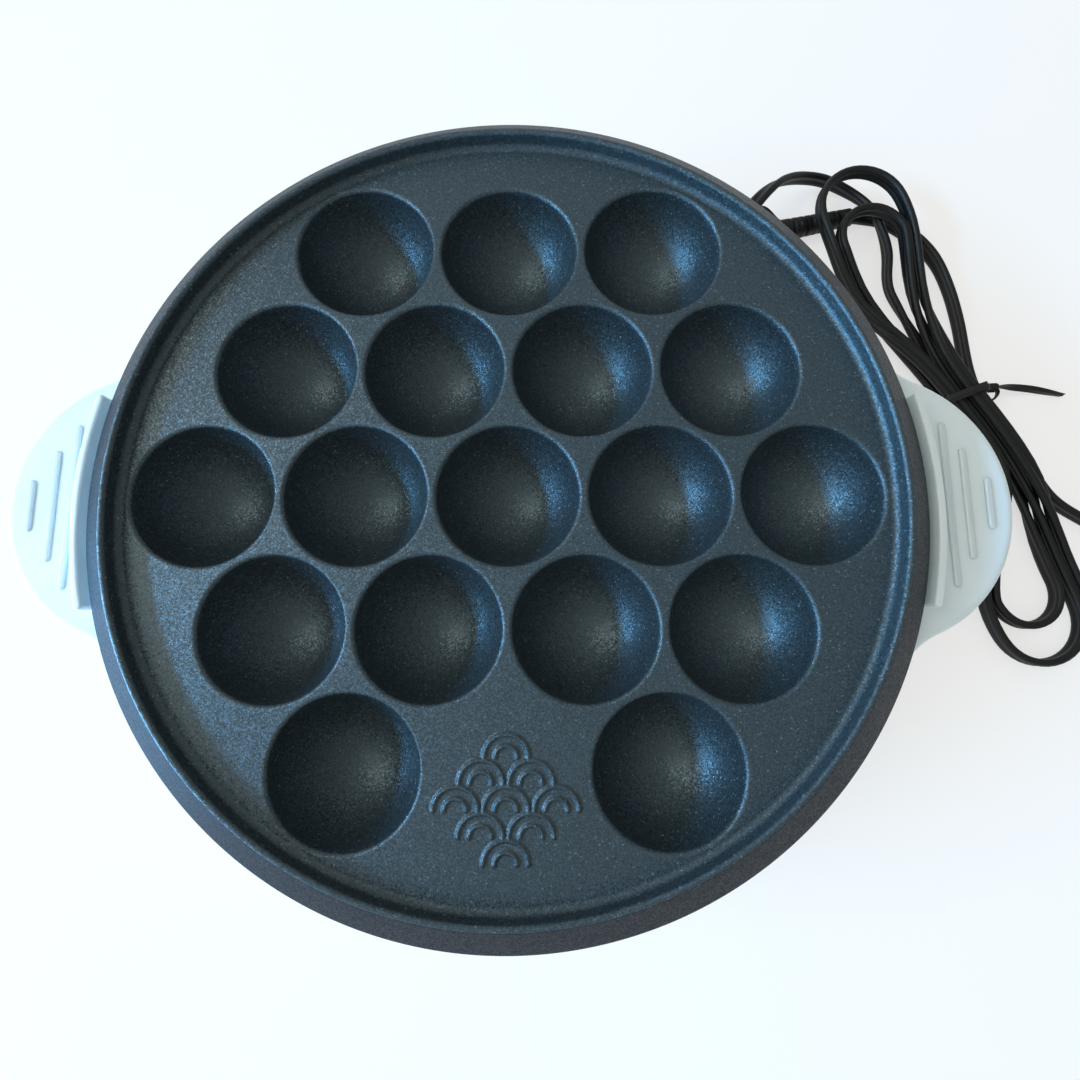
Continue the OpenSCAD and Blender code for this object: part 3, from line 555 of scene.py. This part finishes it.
def pill(line, half, levels, points, faces):
    # a bar with round ends along a line, from its foot up through levels of inset and height
    loops = []
    for inset, z in levels:
        loop, h = [], half - inset
        for side in (1, -1):
            way = line if side == 1 else line[::-1]
            for i, (x, y) in enumerate(way):
                ax, ay = way[max(i - 1, 0)]
                bx, by = way[min(i + 1, len(way) - 1)]
                heading = math.degrees(math.atan2(by - ay, bx - ax))
                if i == len(way) - 1:
                    loop += arcPoints(x - half * math.cos(math.radians(heading)),
                        y - half * math.sin(math.radians(heading)), h, heading - 90, heading + 90, 8)
                elif i:
                    loop.append((x + h * math.cos(math.radians(heading - 90)),
                        y + h * math.sin(math.radians(heading - 90))))
        loops.append(addLoop(loop, z, points))
    closeRings(loops, faces)


def buildGrip():
    points, faces = [], []
    top, root, deep = grip["top"], grip["root"], grip["deep"]
    bend = [(grip["round"] - a, top - grip["round"] + b) for a, b in arcPoints(0, 0, grip["round"], 0, 90, 8)]
    levels = [(0.35, top - deep), (0, top - deep + 0.35), (0, top - 3.4)] + bend + [(grip["round"] + 0.2, top)]
    outer = []
    for inset, z in levels:
        line = gripOutline(inset, root)
        outer.append(addLoop(line + rootArc(line, root)[1:-1], z, points))
    inside = root + grip["wall"]
    curve = [(1 - a + grip["wall"], top - grip["wall"] - 1 + b) for a, b in arcPoints(0, 0, 1, 0, 90, 4)]
    inner = []
    for inset, z in [(grip["wall"] - 0.2, top - deep), (grip["wall"], top - deep + 0.4)] + curve:
        line = gripOutline(inset, inside + inset - grip["wall"])
        inner.append(addLoop(line + rootArc(line, inside + inset - grip["wall"])[1:-1], z, points))
    for group in (outer, inner):
        bridge(group, faces)
        fillFlat([group[-1]], points, faces)
    bridge([inner[0], outer[0]], faces)
    guardR, half, spread, high = grip["guard"]
    lip = [(0, top - 0.5), (0, top + high - 0.7)] + [(0.7 - a, top + high - 0.7 + b)
        for a, b in arcPoints(0, 0, 0.7, 0, 90, 5)[1:]]
    pill(arcPoints(0, 0, guardR, -spread, spread, 24), half, lip, points, faces)
    half, high = grip["bar"]
    lip = [(0, top - 0.3), (0, top + high - 0.5)] + [(0.5 - a, top + high - 0.5 + b)
        for a, b in arcPoints(0, 0, 0.5, 0, 90, 4)[1:]]
    for x, length in grip["bars"]:
        pill([(x, -length / 2), (x, 0), (x, length / 2)], half, lip, points, faces)
    # two bosses inside take the screws that come through the shell
    tip, wide, bore = root + boss["reach"], boss["radius"], boss["bore"]
    for angle in (-boss["angle"], boss["angle"]):
        rings = []
        for along, radius in ((inside - 1, wide), (tip - 0.3, wide), (tip, wide - 0.3), (tip, bore),
                (tip - boss["boreDeep"], bore)):
            rings.append(list(range(len(points), len(points) + boss["around"])))
            for k in range(boss["around"]):
                b = 2 * math.pi * k / boss["around"]
                x, y = turned(along, radius * math.cos(b), angle)
                points.append((x, y, top - boss["below"] + radius * math.sin(b)))
        closeRings(rings, faces)
    return points, faces


for side, name in ((1, "handleMouldingRight"), (-1, "handleMouldingLeft")):
    points, faces = buildGrip()
    moulding = meshPiece(name, [(x * side, y * side, z) for x, y, z in points], faces, 40)
    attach(moulding, "base")
    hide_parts("handle_right" if side == 1 else "handle_left")
print("the handles are moulded")

# boot: the strain relief grips the flex where it leaves the shell, ringed so that it bends evenly
boot = {"from": 94, "wall": 99.95, "face": 112.5, "collar": 115, "end": flex["bootEnd"], "ribs": 8, "rib": 1.9,
    "groove": 0.72, "around": 40}


def buildBoot():
    points, faces, rings = [], [], []
    line = [(boot["from"], 5.8), (boot["from"] + 0.4, 6.2), (boot["wall"] - 0.4, 6.2), (boot["wall"], 5.8),
        (boot["wall"], 4.35), (boot["face"], 4.35), (boot["face"], 6.6), (boot["face"] + 0.4, 7),
        (boot["collar"] - 0.9, 7), (boot["collar"] - 0.3, 6.7), (boot["collar"], 6.1), (boot["collar"], 5.2)]
    pitch = (boot["end"] - boot["collar"] - 1.2) / boot["ribs"]
    for i in range(boot["ribs"]):
        x = boot["collar"] + 1.2 + i * pitch
        r = mix(5.3, 3.6, (x - boot["collar"]) / (boot["end"] - boot["collar"]))
        core = r * boot["groove"]
        line += [(x - 0.25, core), (x - 0.05, core + 0.2), (x, r - 0.35), (x + 0.3, r - 0.03),
            (x + boot["rib"] - 0.35, r - 0.1), (x + boot["rib"], r - 0.45), (x + boot["rib"] + 0.1, core)]
    line[-1] = (boot["end"], line[-2][1] - 0.2)
    for along, radius in line:
        rings.append(list(range(len(points), len(points) + boot["around"])))
        for k in range(boot["around"]):
            a = 2 * math.pi * k / boot["around"]
            x, y = turned(along, radius * math.cos(a), flex["angle"])
            points.append((x, y, flex["height"] + radius * math.sin(a)))
    closeRings(rings, faces)
    return points, faces


cordBoot = meshPiece("cordBoot", *buildBoot(), 40)
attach(cordBoot, "base")
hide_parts("cord_boot")

# plug: two flat blades in a moulded body, its neck ringed like the boot
plug = {"tip": (134.8, 128.2), "angle": 14, "tipHeight": 3.4, "neck": 30, "neckRadius": (3.3, 4.1), "body": 17,
    "width": 21, "height": 10.5, "blade": 18, "gap": 12.7, "bladeHigh": 6.3, "bladeThick": 1.5, "hole": 1.6}


def plugPlace(along, across, up):
    # along runs from the neck's tip towards the blades
    x, y = turned(-along, across, plug["angle"])
    return plug["tip"][0] + x, plug["tip"][1] + y, up


def roundedRing(along, halfWidth, halfHeight, middle, power, count, points):
    start = len(points)
    for k in range(count):
        a = 2 * math.pi * (k + 0.5) / count
        c, t = math.cos(a), math.sin(a)
        points.append(plugPlace(along, halfWidth * math.copysign(abs(c) ** (2 / power), c),
            middle + halfHeight * math.copysign(abs(t) ** (2 / power), t)))
    return list(range(start, start + count))


def buildPlug():
    points, faces, rings = [], [], []
    neck, body, half = plug["neck"], plug["body"], plug["height"] / 2
    rise = math.tan(math.radians(3))
    for i in range(91):
        x = neck * i / 90
        r = mix(*plug["neckRadius"], x / neck)
        if i == 0:
            r -= 0.5
        elif 2 < x < neck - 3:
            # nine rings with grooves between them
            r -= 0.85 * (1 - smooth((abs((x - 2) % 2.8 - 1.4) - 0.25) / 0.35)) * smooth((neck - 3 - x) / 0.5)
        rings.append(roundedRing(x, r, r, plug["tipHeight"] + x * rise, 2, 56, points))
    wide = plug["width"] / 2
    for i in range(1, 69):
        x = body * i / 68
        swell = smooth(x / 6.4)
        w, h = mix(plug["neckRadius"][1], wide, swell), mix(plug["neckRadius"][1], half, smooth(x / 5))
        # three finger grooves across the sides, and a rounded front edge
        w -= 0.55 * sum(bell((x - at) / 0.55) for at in (7.6, 10, 12.4))
        front = max(0, x - body + 0.9)
        w, h = w - 0.9 + math.sqrt(0.81 - min(front, 0.9) ** 2), h - 0.9 + math.sqrt(0.81 - min(front, 0.9) ** 2)
        rings.append(roundedRing(neck + x, w, h, mix(plug["tipHeight"] + neck * rise, half, smooth(x / 5)),
            mix(2, 4.5, swell), 56, points))
    closeRings(rings, faces)
    return points, faces


def buildBlades():
    # flat blades with chamfered tips and a hole near the end
    points, faces = [], []
    start, length = plug["neck"] + plug["body"] - 1.5, plug["blade"] + 1.5
    high, thick = plug["bladeHigh"] / 2, plug["bladeThick"] / 2

    def offHole(a, b):
        return math.hypot(a - length + 3.6, b) > plug["hole"] + 0.17

    for y in (-plug["gap"] / 2, plug["gap"] / 2):
        outer, holes = [], []
        for inset, across in ((0.3, -thick), (0, -thick + 0.3), (0, thick - 0.3), (0.3, thick)):
            end, h = length - inset, high - inset
            outline = [(0, -h), (end - 1.5, -h), (end, -h + 1.5), (end, h - 1.5), (end - 1.5, h), (0, h)]
            outer.append(addLoop(outline, across, points))
            holes.append(addLoop(arcPoints(length - 3.6, 0, plug["hole"] + inset * 0.6, 0, 345, 23), across, points))
        bridge(outer, faces)
        bridge(holes, faces)
        for level in (0, 3):
            fillFlat([outer[level], holes[level]], points, faces, offHole)
        for i in range(outer[0][0], len(points)):
            along, up, across = points[i]
            points[i] = plugPlace(start + along, y + across, plug["height"] / 2 + up)
    return points, faces


plugBody = meshPiece("plugMoulding", *buildPlug(), 50)
plugBlades = meshPiece("plugBlades", *buildBlades(), 30)
for piece, node, slot in ((plugBody, "plug_body", "cord_black"), (plugBlades, "plug_pins", "blade_metal")):
    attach(piece, "base")
    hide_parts(node)
print("the boot and the plug are moulded")

# tie: a flat twist tie with a wire down its middle, round the hank's waist, its ends twisted together
tie = {"at": -2.5, "round": 1.55, "corners": ((-6, 2.3), (9.4, 2.3), (9.4, 5.6), (6, 11.4), (1, 11.7), (-6, 9.2)),
    "knot": ((178.9, 53.9, 6.4), (184.6, 54.7, 5)), "turns": 2.5,
    "tail": ((183.6, 54.6, 5.3, 60), (187, 55, 4.7, 35), (191, 55.3, 3.9, 5), (196, 55.3, 3.1, -15),
        (201, 55, 2.4, -35), (206, 54.3, 1.9, -60), (210, 53.6, 1.6, -80), (213, 53, 1.5, -90)),
    "end": ((184.2, 54.5, 5, 90), (185.2, 53.2, 4.6, 90), (184.9, 51.6, 4.2, 90), (183.4, 50.2, 3.8, 90),
        (181.4, 49.6, 3.4, 90))}
ribbon = [(-1, 0.3), (-1, -0.3), (-0.35, -0.5), (-0.2, -1), (0.2, -1), (0.35, -0.5), (1, -0.3), (1, 0.3), (0.35, 0.5),
    (0.2, 1), (-0.2, 1), (-0.35, 0.5)]


def bandPlace(along, across, up):
    x, y = turned(along, across, hank["axis"])
    return hank["mid"][0] + x, hank["mid"][1] + y, up


def buildTie():
    points, faces = [], []
    corners = tie["corners"]
    count = len(corners)
    outward = [math.degrees(math.atan2(b[1] - a[1], b[0] - a[0])) - 90
        for a, b in zip(corners, corners[1:] + corners[:1])]
    for i in range(1, count):
        while outward[i] < outward[i - 1]:
            outward[i] += 360
    loops = []
    for along, off in ((-1.5, 0), (-1.5, 0.35), (-0.5, 0.42), (-0.3, 0.65), (0.3, 0.65), (0.5, 0.42), (1.5, 0.35),
            (1.5, 0)):
        line = []
        for i, corner in enumerate(corners):
            before = outward[i - 1] if i else outward[-1] - 360
            line += arcPoints(*corner, tie["round"] + off, before, outward[i], 7)
        start = len(points)
        points += [bandPlace(tie["at"] + along, t, z) for t, z in line]
        loops.append(list(range(start, len(points))))
    bridge(loops + loops[:1], faces)
    a, b = (Vector(p) for p in tie["knot"])
    for strand in (0, 180):
        route = []
        for i in range(41):
            turn = math.radians(strand + 360 * tie["turns"] * i / 40)
            middle = a.lerp(b, i / 40)
            route.append((*(middle + Vector((-0.13 * math.cos(turn), math.cos(turn), math.sin(turn))) * 0.85),
                math.degrees(turn) + 90))
        more, sides = sweep(route, ribbon, 2, 0.9)
        faces += [tuple(i + len(points) for i in face) for face in sides]
        points += [tuple(p) for p in more]
    for name, width in (("tail", 2.7), ("end", 2)):
        first, second, last, final = tie[name][0], tie[name][1], tie[name][-2], tie[name][-1]
        route = splinePoints(tie[name], onward(first, second, 2), onward(final, last, 2), 0.7)
        more, sides = sweep(route, ribbon, width, 0.8)
        faces += [tuple(i + len(points) for i in face) for face in sides]
        points += [tuple(p) for p in more]
    return points, faces


twistTie = meshPiece("twistTie", *buildTie(), 45)
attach(twistTie, "base")
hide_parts("cord_tie")
print("the tie is twisted")

# screws and feet: pan heads with a cross recess, and dished rubber pads
screws = {"head": 3.4, "high": 2, "shank": 1.5, "tip": 0.8, "arm": 1.9, "slot": 0.5, "deep": 1.3, "around": 64}
pads = {"ring": 80, "radius": 9, "high": 4.6, "sink": 4.2, "seat": 2.6, "bore": 1.7, "around": 72}


def crossDepth(x, y):
    depth = 0
    for a, b in ((abs(x), abs(y)), (abs(y), abs(x))):
        narrow = mix(screws["slot"], 0.25, min(a / screws["arm"], 1))
        depth = max(depth, (1 - smooth((b - narrow) / 0.22)) * (1 - smooth((a - screws["arm"] + 0.5) / 0.5)))
    return screws["deep"] * depth


def addScrew(x, y, face, way, length, points, faces):
    # the head stands on the face and looks along way, 1 up or -1 down
    r, shank, rings, n = screws["head"], screws["shank"], [], screws["around"]
    for radius in (0.12, 0.3, 0.45, 0.6, 0.75, 0.9, 1.1, 1.3, 1.5, 1.7, 1.9, 2.2, 2.6, 3, 3.25, 3.4):
        start = len(points)
        dome = screws["high"] * (1 - 0.22 * (radius / r) ** 2 - 0.28 * (radius / r) ** 8)
        for k in range(n):
            dx, dy = turned(radius, 0, 360 * k / n)
            points.append((x + dx, y + dy, face + way * (dome - crossDepth(dx, dy))))
        rings.append(list(range(start, start + n)))
    for radius, height in ((r, 0), (shank, 0), (shank, 1 - length), (screws["tip"], -length)):
        rings.append(addCircle(x, y, face + way * height, radius, n, points))
    closeRings(rings, faces)


def buildScrews(ring, angles, face, way, length):
    points, faces = [], []
    for angle in angles:
        addScrew(*turned(ring, 0, angle), face, way, length, points, faces)
    return points, faces


def buildPad(angle):
    points, faces, high = [], [], pads["high"]
    x, y = turned(pads["ring"], 0, angle)
    r = pads["radius"]
    line = [(r, high), (r, 1.9)] + arcPoints(r - 1.6, 1.6, 1.6, 0, -90, 6)[1:]
    line += [(6.9, 0), (6.7, 0.35), (6.2, 0.35), (6, 0)]
    line += [(pads["sink"] + 0.4, 0), (pads["sink"], 0.4), (pads["sink"], pads["seat"]), (pads["bore"], pads["seat"]),
        (pads["bore"], high)]
    rings = [addCircle(x, y, z, radius, pads["around"], points) for radius, z in line]
    bridge(rings + rings[:1], faces)
    return points, faces


panScrews = meshPiece("panScrews", *buildScrews(76, (0, 90, 180, 270), 24.8, 1, 9), 30)
footScrews = meshPiece("footScrews", *buildScrews(pads["ring"], (45, 135, 225, 315), 2.6, -1, 10), 30)
for piece, node in ((panScrews, "pan_screws"), (footScrews, "foot_screws")):
    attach(piece, "base")
    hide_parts(node)
for name, node, angle in (("padFrontLeft", "foot_front_left", 225), ("padFrontRight", "foot_front_right", 315),
        ("padBackLeft", "foot_back_left", 135), ("padBackRight", "foot_back_right", 45)):
    pad = meshPiece(name, *buildPad(angle), 40)
    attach(pad, "base")
    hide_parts(node)
print("the screws and feet are in place")

# materials
def mouldedFinish(name, dark, light, roughness, grainSize, relief, ior):
    # plastic or rubber out of a grained mould: tone varies softly over 30 mm, the grain is the mould's
    material, tree, principled = newMaterial(name, IOR=ior)
    place = addNode(tree, "ShaderNodeTexCoord").outputs["Object"]
    cloud = addNode(tree, "ShaderNodeTexNoise", [(place, "Vector")], Scale=1 / 0.03, Detail=3)
    tone = addNode(tree, "ShaderNodeValToRGB", [(cloud.outputs["Fac"], "Fac")])
    tone.color_ramp.elements[0].position, tone.color_ramp.elements[1].position = 0.3, 0.7
    tone.color_ramp.elements[0].color, tone.color_ramp.elements[1].color = linear(dark), linear(light)
    grain = addNode(tree, "ShaderNodeTexNoise", [(place, "Vector")], Scale=1 / (grainSize * mm), Detail=2)
    gloss = addNode(tree, "ShaderNodeMapRange", [(grain.outputs["Fac"], "Value")])
    gloss.inputs["To Min"].default_value, gloss.inputs["To Max"].default_value = roughness - 0.06, roughness + 0.06
    bump = addNode(tree, "ShaderNodeBump", [(grain.outputs["Fac"], "Height")], Strength=0.5, Distance=relief * mm)
    tree.links.new(tone.outputs[0], principled.inputs["Base Color"])
    tree.links.new(gloss.outputs[0], principled.inputs["Roughness"])
    tree.links.new(bump.outputs[0], principled.inputs["Normal"])
    return material


def sheetFinish(name, dark, light, roughness, streak, metallic=1):
    # rolled or drawn metal: fine streaks along one way and a soft variation from handling
    material, tree, principled = newMaterial(name, Metallic=metallic)
    place = addNode(tree, "ShaderNodeTexCoord").outputs["Object"]
    along = addNode(tree, "ShaderNodeMapping", [(place, "Vector")], Scale=(1, streak, 1))
    rolled = addNode(tree, "ShaderNodeTexNoise", [(along.outputs[0], "Vector")], Scale=1 / 0.008, Detail=4)
    smear = addNode(tree, "ShaderNodeTexNoise", [(place, "Vector")], Scale=1 / 0.02, Detail=3)
    tone = addNode(tree, "ShaderNodeValToRGB", [(smear.outputs["Fac"], "Fac")])
    tone.color_ramp.elements[0].position, tone.color_ramp.elements[1].position = 0.35, 0.65
    tone.color_ramp.elements[0].color, tone.color_ramp.elements[1].color = linear(dark), linear(light)
    gloss = addNode(tree, "ShaderNodeMapRange", [(rolled.outputs["Fac"], "Value")])
    gloss.inputs["To Min"].default_value, gloss.inputs["To Max"].default_value = roughness - 0.1, roughness + 0.1
    bump = addNode(tree, "ShaderNodeBump", [(rolled.outputs["Fac"], "Height")], Strength=0.25, Distance=0.02 * mm)
    tree.links.new(tone.outputs[0], principled.inputs["Base Color"])
    tree.links.new(gloss.outputs[0], principled.inputs["Roughness"])
    tree.links.new(bump.outputs[0], principled.inputs["Normal"])
    return material


# the flank colours and the flank's turned-down sheen are painted shade, blacker and duller than the face
coat = {"deep": "#161e21", "grit": "#303b40", "gloss": "#d2ebf4", "fleck": "#8b9aa2", "roughness": 0.47, "grain": 0.5,
    "fleckSize": 0.36, "glint": 0.3, "flankFrom": 105.7, "flankDeep": "#080d12", "flankGrit": "#11191f",
    "flankGloss": "#8db4da", "flankShine": 0.25}


def nonstickCoat(name, deep, grit, gloss, ior, mica):
    # sprayed PTFE on die-cast aluminium: black with a satin sheen, pebbled like fine orange peel, with mica
    # in it that glints where the window catches it and lifts the sheen above PTFE's own, hence the high IOR;
    # the real grit is near 0.1 mm and drawn at 0.4 to 0.5 mm so that it shows
    material, tree, principled = newMaterial(name, IOR=ior)
    principled.inputs["Specular Tint"].default_value = linear(gloss)
    place = addNode(tree, "ShaderNodeTexCoord").outputs["Object"]
    pebble = addNode(tree, "ShaderNodeTexNoise", [(place, "Vector")], Scale=1 / (coat["grain"] * mm), Detail=3)
    cells = addNode(tree, "ShaderNodeTexVoronoi", [(place, "Vector")], Scale=1 / (coat["fleckSize"] * mm))
    tone = addNode(tree, "ShaderNodeValToRGB", [(pebble.outputs["Fac"], "Fac")])
    tone.color_ramp.elements[0].position, tone.color_ramp.elements[1].position = 0.35, 0.62
    tone.color_ramp.elements[0].color, tone.color_ramp.elements[1].color = linear(deep), linear(grit)
    flecks = addNode(tree, "ShaderNodeSeparateColor", [(cells.outputs["Color"], "Color")])
    few = addNode(tree, "ShaderNodeMapRange", [(flecks.outputs[0], "Value")])
    few.inputs["From Min"].default_value, few.inputs["From Max"].default_value = 0.97, 1
    few.inputs["To Max"].default_value = 0.5 * mica
    pale = addNode(tree, "ShaderNodeMix", [(few.outputs[0], "Factor"), (tone.outputs[0], 6)], data_type="RGBA")
    pale.inputs[7].default_value = linear(coat["fleck"])
    dull = addNode(tree, "ShaderNodeMapRange", [(flecks.outputs[1], "Value")])
    dull.inputs["To Min"].default_value = coat["roughness"] - 0.12
    dull.inputs["To Max"].default_value = coat["roughness"] + 0.1
    # each flake of mica lies a little askew
    askew = addNode(tree, "ShaderNodeVectorMath", [(cells.outputs["Color"], 0)], operation="SUBTRACT")
    askew.inputs[1].default_value = (0.5, 0.5, 0.5)
    slight = addNode(tree, "ShaderNodeVectorMath", [(askew.outputs[0], 0)], operation="SCALE")
    slight.inputs["Scale"].default_value = coat["glint"] * mica
    facing = addNode(tree, "ShaderNodeNewGeometry").outputs["Normal"]
    leaning = addNode(tree, "ShaderNodeVectorMath", [(slight.outputs[0], 0), (facing, 1)], operation="ADD")
    flake = addNode(tree, "ShaderNodeVectorMath", [(leaning.outputs[0], 0)], operation="NORMALIZE")
    bump = addNode(tree, "ShaderNodeBump", [(pebble.outputs["Fac"], "Height"), (flake.outputs[0], "Normal")],
        Strength=0.6, Distance=0.06 * mm)
    tree.links.new(pale.outputs[2], principled.inputs["Base Color"])
    tree.links.new(dull.outputs[0], principled.inputs["Roughness"])
    tree.links.new(bump.outputs[0], principled.inputs["Normal"])
    return material


finishes = {
    "nonstick": nonstickCoat("sprayedPtfe", coat["deep"], coat["grit"], coat["gloss"], 1.85, 1),
    # the casting's flank takes a copy of the coat with hardly any mica, blacker and duller than the face: painted
    # shade standing in for the dark, shadowed surroundings that the flank reflects
    "nonstick_flank": nonstickCoat("shadedFlankPtfe", coat["flankDeep"], coat["flankGrit"], coat["flankGloss"], 1.36, 0.1),
    # white ABS from a spark-eroded mould: satin, a little cool, with a 0.35 mm grain, and light that seeps into it
    "white_plastic": mouldedFinish("whiteAbs", "#dfeced", "#e9f4f4", 0.36, 0.35, 0.02, 1.53),
    # extruded PVC cover of the flex: black with a dull sheen and a faint drawn grain
    "cord_black": mouldedFinish("blackPvcFlex", "#060707", "#0c0d0d", 0.5, 0.7, 0.03, 1.45),
    # PVC over thin wire: smoother and a little glossier than the flex
    "tie_black": mouldedFinish("blackPvcTie", "#050505", "#0b0b0b", 0.5, 0.4, 0.02, 1.48),
    # nitrile rubber feet: dull, dark grey
    "rubber_grey": mouldedFinish("nitrileRubber", "#232526", "#2d3031", 0.72, 0.5, 0.05, 1.5),
    # steatite blocks and beads: off-white, half glazed
    "ceramic": mouldedFinish("steatite", "#d9d0bd", "#e8e1d0", 0.42, 0.6, 0.03, 1.6),
    # pressed phenolic body of the thermostat: brown-black
    "thermostat_black": mouldedFinish("phenolic", "#221e1b", "#302b27", 0.5, 0.5, 0.03, 1.6),
    # silicone-coated glass braid on the wires
    "wire_white": mouldedFinish("whiteGlassBraid", "#d3d3ce", "#ececea", 0.6, 0.8, 0.12, 1.5),
    "wire_grey": mouldedFinish("greyGlassBraid", "#33373b", "#454a4f", 0.6, 0.8, 0.12, 1.5),
    # aluminised sheet, deep drawn: bright and slightly smeared
    "pan_steel": sheetFinish("aluminisedSheet", "#b6babd", "#d0d3d5", 0.3, 12),
    # polyester paint on sheet steel: flat grey
    "cover_steel": sheetFinish("greyPaintedSheet", "#a3a7a9", "#b4b8ba", 0.48, 1, 0),
    # incoloy sheath after many heats: straw to blue-grey
    "heater_sheath": sheetFinish("heatedSheath", "#55504b", "#6f7074", 0.48, 6),
    # zinc-plated steel screws: pale, slightly blue
    "screw_steel": sheetFinish("zincPlate", "#aeb3b7", "#c9cdd0", 0.3, 4),
    # nickel on brass plug blades: warm silver, brighter where they rub
    "blade_metal": sheetFinish("nickelledBrass", "#c4bb9c", "#dcd6c0", 0.24, 8),
}
# light goes about 4 mm into white ABS and comes out softened
whiteAbs = finishes["white_plastic"].node_tree.nodes["Principled BSDF"]
whiteAbs.inputs["Subsurface Weight"].default_value = 0.5
whiteAbs.inputs["Subsurface Radius"].default_value = (1, 1, 1)
whiteAbs.inputs["Subsurface Scale"].default_value = 4 * mm
# the flank's sheen is turned down as part of its painted shade
flankShader = finishes["nonstick_flank"].node_tree.nodes["Principled BSDF"]
flankShader.inputs["Specular IOR Level"].default_value = coat["flankShine"]
for entry in frame["record"]["subparts"]:
    for place in frame["nodes"][entry["node"]].material_slots:
        place.material = finishes[entry["material_slot"]]
for name, finish in (("plateCasting", "nonstick"), ("handleMouldingRight", "white_plastic"),
        ("handleMouldingLeft", "white_plastic"), ("cordFlex", "cord_black"), ("cordBoot", "cord_black"),
        ("plugMoulding", "cord_black"), ("plugBlades", "blade_metal"), ("twistTie", "tie_black"),
        ("panScrews", "screw_steel"), ("footScrews", "screw_steel"), ("padFrontLeft", "rubber_grey"),
        ("padFrontRight", "rubber_grey"), ("padBackLeft", "rubber_grey"), ("padBackRight", "rubber_grey")):
    bpy.data.objects[name].data.materials.append(finishes[finish])
plateCasting.data.materials.append(finishes["nonstick_flank"])
# all of the casting beyond the top of its slope is flank, and takes the flank coat's painted shade
for face in plateCasting.data.polygons:
    face.material_index = int(math.hypot(*face.center[:2]) > coat["flankFrom"] * mm)
print("every surface has its finish")
